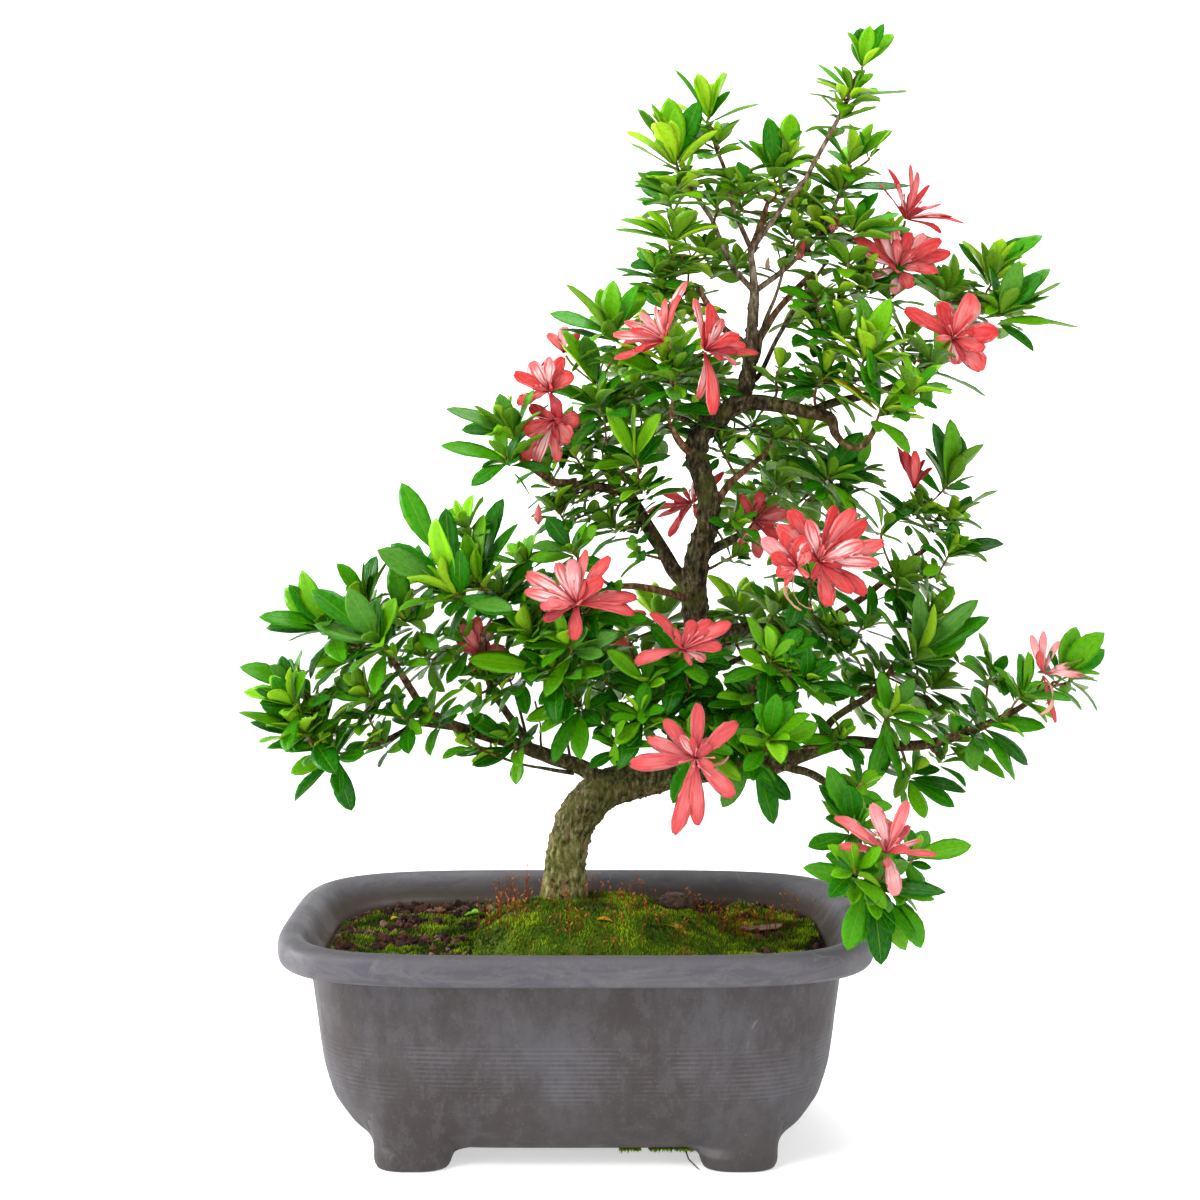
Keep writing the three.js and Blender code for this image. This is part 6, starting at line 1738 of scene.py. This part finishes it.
def wall_ring(radius, height):
    """One ring of the pot's outside, with its ribs and its soft joins with the feet."""
    out = radius + rib(height)
    lean = WALL_NORMAL[nearest_wall(radius, height)]
    outline = ring(out, pot_depth(out), height, POT_SIDES, POT_POWER)
    if height >= FOOT_FADE:
        return outline
    further = ring(out + 1, pot_depth(out + 1), height, POT_SIDES, POT_POWER)
    for point, beyond in zip(outline, further):
        spot = (point - POT_MIDDLE) / MM
        gap = from_foot(spot.x, spot.y)[0]
        if FILLET_INSIDE < gap < FILLET:
            way = (beyond - point).normalized() * lean[0] + UP * lean[1]
            point.xyz = point + way * stand_out(spot, way, gap) * MM
    return outline


def drain_cutters():
    """Cylinders where the drain holes go."""
    cutters = []
    for end in (-1, 1):
        bpy.ops.mesh.primitive_cylinder_add(vertices=DRAIN_CUTTER["sides"], radius=DRAIN_HOLE["radius"] * MM,
                                            depth=DRAIN_CUTTER["height"] * MM)
        cutter = bpy.context.active_object
        cutter.location = on_pot(end * DRAIN_HOLE["x"], 0, DRAIN_CUTTER["middle"])
        cutters.append(cutter)
    bpy.context.view_layer.update()
    return cutters


def join(made, shell):
    """Add a shell's faces to a piece, smooth."""
    extra = bpy.data.meshes.new("extra")
    extra.from_pydata(shell.points, [], shell.faces)
    extra.polygons.foreach_set("use_smooth", [True] * len(extra.polygons))
    whole = bmesh.new()
    whole.from_mesh(made.data)
    whole.from_mesh(extra)
    whole.to_mesh(made.data)
    whole.free()
    bpy.data.meshes.remove(extra)


def make_pot():
    """The tray with its feet. Its shade is painted shade inside the wall under the rim, browned like soil."""
    shell = Shell()
    rings = []
    for radius, height in dense(POT_OUTSIDE, POT_WALL_STEP[0]):
        rings.append(wall_ring(radius, height))
        shell.shades += [0.0] * POT_SIDES
    for radius, height in dense(POT_INSIDE, POT_WALL_STEP[1]):
        rings.append(ring(radius, pot_depth(radius), height, POT_SIDES, POT_POWER))
        # Painted shade inside the wall, which fades out near the top.
        shell.shades += [1 - smooth(102, 112, height)] * POT_SIDES
    stack(shell, rings)
    made = shell.piece("pot_tray", POT, "pot", ["pot"])
    cut(made, drain_cutters())
    feet = Shell()
    for end in (-1, 1):
        for side in (-1, 1):
            stack(feet, foot_rings(end, side))
    join(made, feet)


def make_screens():
    """Woven plastic mesh over the drain holes: crossing wires."""
    half = SCREEN["side"] / 2
    count = int(SCREEN["side"] / SCREEN["pitch"]) + 1
    steps = 4 * count
    for name, end in (("left", -1), ("right", 1)):
        shell = Shell()
        for k in range(count):
            offset = -half + SCREEN["edge"] + k * (SCREEN["side"] - 2 * SCREEN["edge"]) / (count - 1)
            for lengthways in (True, False):
                line = []
                for step in range(steps + 1):
                    run = -half + SCREEN["side"] * step / steps
                    phase = math.pi * (run + half) / SCREEN["pitch"] + k * math.pi
                    lift = SCREEN["weave"] * math.sin(phase) * (1 if lengthways else -1)
                    x, y = (run, offset) if lengthways else (offset, run)
                    line.append(on_pot(end * DRAIN_HOLE["x"] + x, y, SCREEN["middle"] + lift))
                tube(shell, line, [SCREEN["wire"] * MM] * len(line), 5)
        shell.piece(f"screen_mesh_{name}", SCREEN_PLASTIC, "screen", [f"screen_{name}"])


# ---------------------------------------------------------------------------
# Ground
# ---------------------------------------------------------------------------


def inside_pot(x, y, margin):
    """Whether a spot is clear of the pot's inner wall at the height of the soil."""
    half = SOIL_HALF - margin
    deep = half - POT_DEPTH_LESS
    return abs(x / half) ** POT_POWER + abs(y / deep) ** POT_POWER < 1


def mound_height(x, y):
    """How far the moss cushion stands over the soil. It leans the more the higher it is, so its share
    is found in a few rounds."""
    share = 0.5
    for _ in range(4):
        out = math.hypot((x - MOUND["x"] - MOUND["lean"] * share) / MOUND["half_length"],
                         (y - MOUND["y"]) / MOUND["half_depth"])
        share = float(np.interp(out, *MOUND_SHARES))
    return MOUND["height"] * share


def soil_height(x, y):
    """How high the bare soil lies."""
    lumps = 1.5 * noise_at(0.045 * x, 0.045 * y, 3) + 0.9 * noise_at(0.16 * x, 0.16 * y, 8)
    return SOIL_TOP + lumps


def moss_share(x, y):
    """How densely moss covers the ground, from bare grit at 0 to full at 1."""
    if mound_height(x, y) > 1.5:
        return 1.0
    patches = noise_at(0.035 * x + 4, 0.05 * y, 2) + 0.6 * noise_at(0.13 * x, 0.13 * y, 6)
    if x > 40:
        return smooth(-0.3, 0.15, patches + 0.4 - smooth(50, 74, y) * 0.6 - smooth(112, 124, x) * 0.4)
    near = smooth(-126, -112, x) * (1 - smooth(46, 70, y))
    return smooth(-0.12, 0.12, patches + 0.50 * near - 0.36)


def ground_height(x, y):
    """How high the ground lies: bare soil, a carpet of moss or the cushion."""
    rise = mound_height(x, y)
    soft = 3.4 * noise_at(0.055 * x, 0.055 * y, 1) + 1.6 * noise_at(0.15 * x, 0.15 * y, 7)
    cushion = SOIL_TOP + rise + soft * min(rise / 6, 1)
    carpet = 1.6 * moss_share(x, y) * (1 - min(rise / 4, 1))
    share = min(rise / 3, 1)
    return soil_height(x, y) * (1 - share) + cushion * share + carpet


def make_soil():
    """The soil, which fills the pot a little inside its wall."""
    shell = Shell()
    walls = [(radius - 0.3, height + 0.3) for radius, height in POT_INSIDE[::-1] if height < SOIL_TOP]
    rings = [ring(radius, pot_depth(radius), height, SOIL_SIDES, POT_POWER)
             for radius, height in dense(walls, 4)]
    for step in range(SOIL_RINGS):
        radius = SOIL_HALF * (1 - step / SOIL_RINGS)
        depth = radius * (SOIL_HALF - POT_DEPTH_LESS) / SOIL_HALF
        outline = ring(radius, depth, SOIL_TOP, SOIL_SIDES, POT_POWER)
        for point in outline:
            x, y = (point.x - POT_MIDDLE.x) / MM, (point.y - POT_MIDDLE.y) / MM
            point.z = soil_height(x, y) * MM if step else (SOIL_TOP - 0.3) * MM
        rings.append(outline)
    stack(shell, rings)
    shell.piece("soil_bed", SOIL, "soil", ["soil"])


def taken_apart(mesh):
    """Corners and faces of a bmesh, which is freed."""
    mesh.verts.index_update()
    points = np.array([v.co[:] for v in mesh.verts])
    faces = [tuple(v.index for v in face.verts) for face in mesh.faces]
    mesh.free()
    return points, faces


def shard(rng, corners):
    """An angular crumb: the hull of points near a unit ball."""
    mesh = bmesh.new()
    for _ in range(corners):
        way = Vector([rng.gauss(0, 1) for _ in range(3)]).normalized()
        mesh.verts.new(way * rng.uniform(0.75, 1.0))
    hull = bmesh.ops.convex_hull(mesh, input=mesh.verts)
    unused = hull["geom_interior"] + hull["geom_unused"]
    inside = {v for v in unused if isinstance(v, bmesh.types.BMVert)}
    bmesh.ops.delete(mesh, geom=list(inside), context="VERTS")
    return taken_apart(mesh)


def turned(rng):
    """A random turn, as a matrix."""
    angles = [rng.uniform(0, FULL_TURN) for _ in range(3)]
    return np.array(Euler(angles).to_matrix())


def takes_crumb(rng, x, y, radius):
    """Whether a crumb lies at a spot: not in the wall, on the cushion or at the rock, seldom in moss."""
    if not inside_pot(x, y, radius + 0.6) or mound_height(x, y) > 1:
        return False
    if rng.random() < moss_share(x, y) * GRAVEL_IN_MOSS:
        return False
    return math.hypot(x - ROCK_SPOT[0], y - ROCK_SPOT[1]) >= ROCK_CLEAR


def make_grit():
    """Crumbs of lava and baked clay over the soil, thicker where no moss grows."""
    rng = random.Random("grit")
    shell = Shell()
    small = [shard(rng, 9) for _ in range(GRAVEL["shapes"])]
    large = [shard(rng, 22) for _ in range(GRAVEL["shapes"])]
    count = 0
    while count < GRAVEL["count"]:
        x, y = rng.uniform(-128, 128), rng.uniform(-88, 88)
        radius = min(GRAVEL["least"] + rng.expovariate(1.5), GRAVEL["most"])
        if not takes_crumb(rng, x, y, radius):
            continue
        points, faces = rng.choice(large if radius > GRAVEL["large"] else small)
        size = np.array([radius * rng.uniform(0.7, 1.25) for _ in range(3)]) * MM
        spot = np.array(on_pot(x, y, soil_height(x, y) + radius * rng.uniform(0.0, 0.6)))
        body = points @ turned(rng).T * size + spot
        shell.add(body, faces, shades=[rng.random()] * len(points))
        count += 1
    shell.piece("grit", GRIT, "soil", ["soil"], smooth_faces=False)


def cushion_ring(step):
    """One ring of the moss cushion. The first one lies in the soil."""
    share = 1 - step / MOUND_RINGS
    middle = MOUND["x"] + MOUND["lean"] * float(np.interp(share, *MOUND_SHARES))
    outline = []
    for k in range(MOUND_SIDES):
        angle = FULL_TURN * k / MOUND_SIDES
        x = middle + MOUND["half_length"] * share * math.cos(angle)
        y = MOUND["y"] + MOUND["half_depth"] * share * math.sin(angle)
        outline.append(on_pot(x, y, ground_height(x, y) - 0.4 if step else SOIL_TOP - 1.5))
    return outline


def make_moss():
    """The cushion and its shoots, and the shoots of the moss that grows between the grit."""
    rng = random.Random("moss")
    shell = Shell()
    stack(shell, [cushion_ring(step) for step in range(MOUND_RINGS)])
    shell.shades = [0.25] * len(shell.points)
    count = 0
    while count < MOSS_TUFTS:
        x, y = rng.uniform(-127, 127), rng.uniform(-87, 87)
        share = moss_share(x, y)
        if rng.random() > share or not inside_pot(x, y, 1.5):
            continue
        tuft(shell, rng, x, y)
        count += 1
    shell.piece("moss", MOSS, "moss", ["moss_mound"], smooth_faces=False)


def tuft(shell, rng, x, y):
    """One spiky shoot of moss on the ground."""
    base = on_pot(x, y, ground_height(x, y) - 0.7)
    tall = rng.uniform(1.5, 3.1) * (0.75 + 0.4 * noise_at(0.12 * x, 0.12 * y, 4))
    lean = Vector((rng.uniform(-0.7, 0.7), rng.uniform(-0.7, 0.7), 0)) * MM
    tone = 0.5 + 0.75 * noise_at(0.06 * x, 0.06 * y, 9) + rng.uniform(-0.25, 0.25)
    spike(shell, rng, base, lean + UP * tall * MM, min(max(tone, 0.05), 1.0))


def spike(shell, rng, base, way, tone):
    """A thin three-sided point that is dark at its foot."""
    broad = rng.uniform(0.38, 0.64) * MM
    side = across(way)
    other = way.normalized().cross(side)
    turn = rng.uniform(0, FULL_TURN)
    points = []
    for k in range(3):
        angle = turn + FULL_TURN * k / 3
        points.append(base + (side * math.cos(angle) + other * math.sin(angle)) * broad)
    points.append(base + way)
    shell.add(points, [(2, 1, 0), (0, 1, 3), (1, 2, 3), (2, 0, 3)], shades=[tone * 0.35] * 3 + [tone])


UNDER_MOSS = {"x": (22, 60), "y": (-67.5, -60), "z": 8.2, "shoots": 1100}
DRY_ROOT = [(53, -62, 8.4), (55, -65, 5.5), (56, -69, 3.4), (59, -73, 1.6), (61, -76, 0.5)]
DRY_ROOT_RADII = [0.5, 0.45, 0.4, 0.35, 0.2]


def make_under_moss():
    """Moss that hangs from the pot's floor near its front edge, and a dry root beside it."""
    rng = random.Random("under moss")
    shell = Shell()
    for _ in range(UNDER_MOSS["shoots"]):
        x = rng.uniform(*UNDER_MOSS["x"])
        if noise_at(0.16 * x, 3) < -0.2:
            continue
        base = on_pot(x, rng.uniform(*UNDER_MOSS["y"]), UNDER_MOSS["z"])
        way = Vector((rng.uniform(-0.6, 0.6), rng.uniform(-0.9, 0.1), rng.uniform(-1.1, -0.5)))
        spike(shell, rng, base, way * rng.uniform(1, 2.6) * MM, rng.uniform(0.3, 0.85))
    shell.piece("under_moss", MOSS, "moss", smooth_faces=False)
    root = Shell()
    line = [on_pot(*spot) for spot in DRY_ROOT]
    tube(root, line, [r * MM for r in DRY_ROOT_RADII], 6, shades=[0.62] * len(line))
    root.piece("dry_root", BARK, "bark")


# Where moss spore stalks stand: middle x and y, spread, how many and how tall.
SPORE_STANDS = [
    (-40, -2, 10, 26, 19), (-30, 6, 9, 14, 16), (-34, -30, 9, 22, 15), (-8, -50, 22, 26, 8),
    (16, -46, 24, 34, 8), (46, -34, 15, 26, 8), (28, 26, 26, 20, 14), (84, -6, 10, 34, 19),
    (104, 8, 9, 18, 17), (66, 10, 14, 16, 12), (-8, -20, 20, 18, 9), (30, -14, 20, 18, 9),
    (118, 18, 6, 8, 17),
]
SPORE_SHARES = (0, 0.4, 0.75, 0.92)  # of its height, along its stalk
SPORE_CAP = (0.7, 1.6, 2.2)  # mm along its cap
SPORE_RADII = [0.13, 0.11, 0.1, 0.12, 0.34, 0.32, 0.1]  # mm, of the stalk and then of the cap


def spore_stalk(shell, rng, x, y, height):
    """A thin stalk with a paler cap that hangs over."""
    lean = Vector((rng.uniform(-1, 1), rng.uniform(-1, 1), 0)) * 0.16
    base = on_pot(x, y, ground_height(x, y) - 0.6)
    line = [base + (UP * t + lean * t * t) * height * MM for t in SPORE_SHARES]
    hang = (lean * 5 + UP * 0.5).normalized()
    line += [line[-1] + hang * reach * MM for reach in SPORE_CAP]
    shade = rng.uniform(0, 0.4)
    shades = [shade] * len(SPORE_SHARES) + [shade + rng.uniform(0.2, 0.6)] * len(SPORE_CAP)
    tube(shell, line, [r * MM for r in SPORE_RADII], 4, shades=shades)


def make_spores():
    rng = random.Random("spores")
    shell = Shell()
    for middle_x, middle_y, spread, count, tall in SPORE_STANDS:
        for _ in range(count):
            x = rng.gauss(middle_x, spread * 0.6)
            y = rng.gauss(middle_y, spread * 0.6)
            if inside_pot(x, y, 3):
                spore_stalk(shell, rng, x, y, tall * rng.uniform(0.45, 1.1))
    shell.piece("spore_stalks", SPORE, "moss", ["moss_mound"])


ROCK_SPOT = (52, 6, 117)
ROCK_SIZE = (10, 8, 5)
ROCK_FLAT = 0.86  # how far out its sides are cut off, as a share of its size
CHIP_SPOT = (98, 16, 99.6)
CHIP_SIZE = (24, 10, 3)
CHIP_TURN = 0.35
CHIP_STEPS = 32
CHIP_SIDES = 20


def make_rock():
    """A rough stone: a ball of triangles with lumps and flattened sides."""
    shell = Shell()
    mesh = bmesh.new()
    bmesh.ops.create_icosphere(mesh, subdivisions=5, radius=1)
    points, faces = taken_apart(mesh)
    body = []
    for point in points:
        spot = Vector(point)
        coarse = noise.noise(spot * 1.5 + Vector((3, 1, 7)))
        fine = noise.turbulence(spot * 4, 4, False)
        body.append(np.array(spot * (1 + 0.22 * coarse + 0.14 * (fine - 0.6))))
    body = np.clip(np.array(body), -ROCK_FLAT, ROCK_FLAT) * np.array(ROCK_SIZE) * MM
    shell.add(body + np.array(on_pot(*ROCK_SPOT)), faces)
    shell.piece("lava_rock", ROCK, "rock", ["rock"])


def chip_ring(step):
    """One outline across the flake of bark, with splinters on it."""
    length, width, thick = (size / 2 for size in CHIP_SIZE)
    run = -1 + step / (CHIP_STEPS / 2)
    wide = 0.12
    if 0 < step < CHIP_STEPS:
        wide = (1 - abs(run) ** 3) ** 0.5 * (1 + 0.22 * noise_at(3 * run, 1.0))
    outline = []
    for k in range(CHIP_SIDES):
        angle = FULL_TURN * k / CHIP_SIDES
        side = math.cos(angle) * width * wide
        splinters = 0.5 * noise_at(2.2 * side, 0.4 * run * length, 7)
        up = thick * (0.55 + 0.45 * math.sin(angle)) + splinters + 0.9 * run * run
        x, y = run * length, side + 0.8 * noise_at(2 * run, 5.0)
        turned_x = x * math.cos(CHIP_TURN) - y * math.sin(CHIP_TURN)
        turned_y = x * math.sin(CHIP_TURN) + y * math.cos(CHIP_TURN)
        outline.append(on_pot(CHIP_SPOT[0] + turned_x, CHIP_SPOT[1] + turned_y, CHIP_SPOT[2] + up))
    return outline


def make_chip():
    """A splintered flake of bark, bent a little along its length."""
    shell = Shell()
    stack(shell, [chip_ring(step) for step in range(CHIP_STEPS + 1)])
    shell.piece("bark_flake", CHIP, "chip", ["bark_chip"])


# Fallen leaf bits: x, y, turn, length and age.
FALLEN = [
    (-62, 40, 0.4, 13, "young"), (-54, 44, 2.2, 9, "young"), (-101, 30, 1.0, 7, "orange"),
    (18, -44, 2.6, 10, "orange"), (-38, -22, 0.3, 14, "dark"), (52, -38, 2.4, 15, "orange"),
]


def make_fallen():
    rng = random.Random("fallen")
    shell = Shell()
    for x, y, turn, length, age in FALLEN:
        base = on_pot(x, y, ground_height(x, y) + 2.2)
        along = Vector((math.cos(turn), math.sin(turn), 0.12))
        leaf(shell, rng, base, along, UP, length * MM, age, bend=0.5, width=0.5)
    shell.piece("fallen_leaves", LEAF, "leaf")


# ---------------------------------------------------------------------------
# Camera, floor and light
# ---------------------------------------------------------------------------

STUDIO = {"radius": 5.0, "height": 1.9, "sides": 96}  # metres
FLOOR_GLOW = 0.5
WALL_GLOW = 1.0
WORLD_LIGHT = 0.26
LAMP_AIM = Vector((0, 0, 0.25))
LAMPS = {  # place, size across and power
    "key": ((-1.2, -1.2, 2.0), 1.0, 44),
    "fill": ((1.6, -1.3, 1.0), 1.2, 8),
    "left": ((-2.0, 0.2, 0.6), 1.0, 46),
    "top": ((0.3, 0.5, 2.3), 1.2, 44),
}


def stage_piece(name, points, faces, material, glow):
    """A part of the white studio, with a glow of its own so that it ends up white."""
    mesh = bpy.data.meshes.new(name)
    mesh.from_pydata(points, [], faces)
    made = bpy.data.objects.new(name, mesh)
    bpy.context.scene.collection.objects.link(made)
    shader = material.node_tree.nodes["Principled BSDF"]
    shader.inputs["Emission Color"].default_value = (1, 1, 1, 1)
    shader.inputs["Emission Strength"].default_value = glow
    mesh.materials.append(material)


def make_camera(scene):
    camera = bpy.data.objects.new("camera", bpy.data.cameras.new("camera"))
    camera.data.lens = LENS
    camera.data.sensor_width = SENSOR
    camera.location = on_pot(EYE["x"], -EYE["distance"], EYE["z"])
    camera.rotation_euler = (math.pi / 2 - PITCH_DOWN, 0, 0)
    scene.collection.objects.link(camera)
    scene.camera = camera


def make_lights(scene):
    world = bpy.data.worlds.new("world")
    world.use_nodes = True
    world.node_tree.nodes["Background"].inputs["Color"].default_value = (1, 1, 1, 1)
    world.node_tree.nodes["Background"].inputs["Strength"].default_value = WORLD_LIGHT
    scene.world = world
    for name, (place, size, power) in LAMPS.items():
        lamp = bpy.data.lights.new(name, "AREA")
        lamp.shape = "DISK"
        lamp.size = size
        lamp.energy = power
        made = bpy.data.objects.new(name, lamp)
        made.location = Vector(place)
        made.rotation_euler = (LAMP_AIM - made.location).to_track_quat("-Z", "Y").to_euler()
        scene.collection.objects.link(made)


def make_stage():
    """The camera, a round floor, a round wall and the lights."""
    scene = bpy.context.scene
    scene.view_settings.view_transform = "Standard"
    make_camera(scene)
    sides = STUDIO["sides"]
    angles = [FULL_TURN * k / sides for k in range(sides)]
    foot, top = ([(STUDIO["radius"] * math.cos(angle), STUDIO["radius"] * math.sin(angle), z)
                  for angle in angles] for z in (0.0, STUDIO["height"]))
    around = [(k, (k + 1) % sides, sides + (k + 1) % sides, sides + k) for k in range(sides)]
    stage_piece("floor", foot, [tuple(range(sides))], FLOOR, FLOOR_GLOW)
    stage_piece("wall", foot + top, around, WALL, WALL_GLOW)
    make_lights(scene)


# ---------------------------------------------------------------------------
# The whole
# ---------------------------------------------------------------------------


def make_tree():
    """The wood, then what grows on it. roots are the places where shoots and stalks can leave it."""
    shells = {"trunk": Shell()}
    roots = {"trunk": limb(shells["trunk"], TRUNK, TRUNK_SIDES, TRUNK_SPAN, trunk_relief)}
    for name, limbs in BRANCHES.items():
        shells[name] = Shell()
        roots[name] = []
        for line in limbs:
            roots[name] += limb(shells[name], line, BRANCH_SIDES, BRANCH_SPAN, branch_relief, 0.0, 0.3)
    every = [root for entries in roots.values() for root in entries]
    for carrier, names in CARRIED.items():
        for name in names:
            every += grow_spray(name, shells[carrier], roots[carrier])[len(roots[carrier]):]
    for name, blooms in FLOWERS.items():
        flower(name.replace("flower", "bloom"), blooms, shells["trunk"], every, [name])
    flower("bloom_hidden_left", [HIDDEN_BLOOM], shells["branch_left_low"], every, [])
    buds = Shell()
    rng = random.Random("buds")
    for base, way, length, age in BUDS:
        bud(buds, rng, base, way, length, age)
    buds.piece("buds", PETAL, "petal")
    for name, shell in shells.items():
        shell.piece("wood_" + name, BARK, "bark", [name])


make_stage()
make_tree()
make_pot()
make_screens()
make_soil()
make_grit()
make_moss()
make_under_moss()
make_spores()
make_rock()
make_chip()
make_fallen()
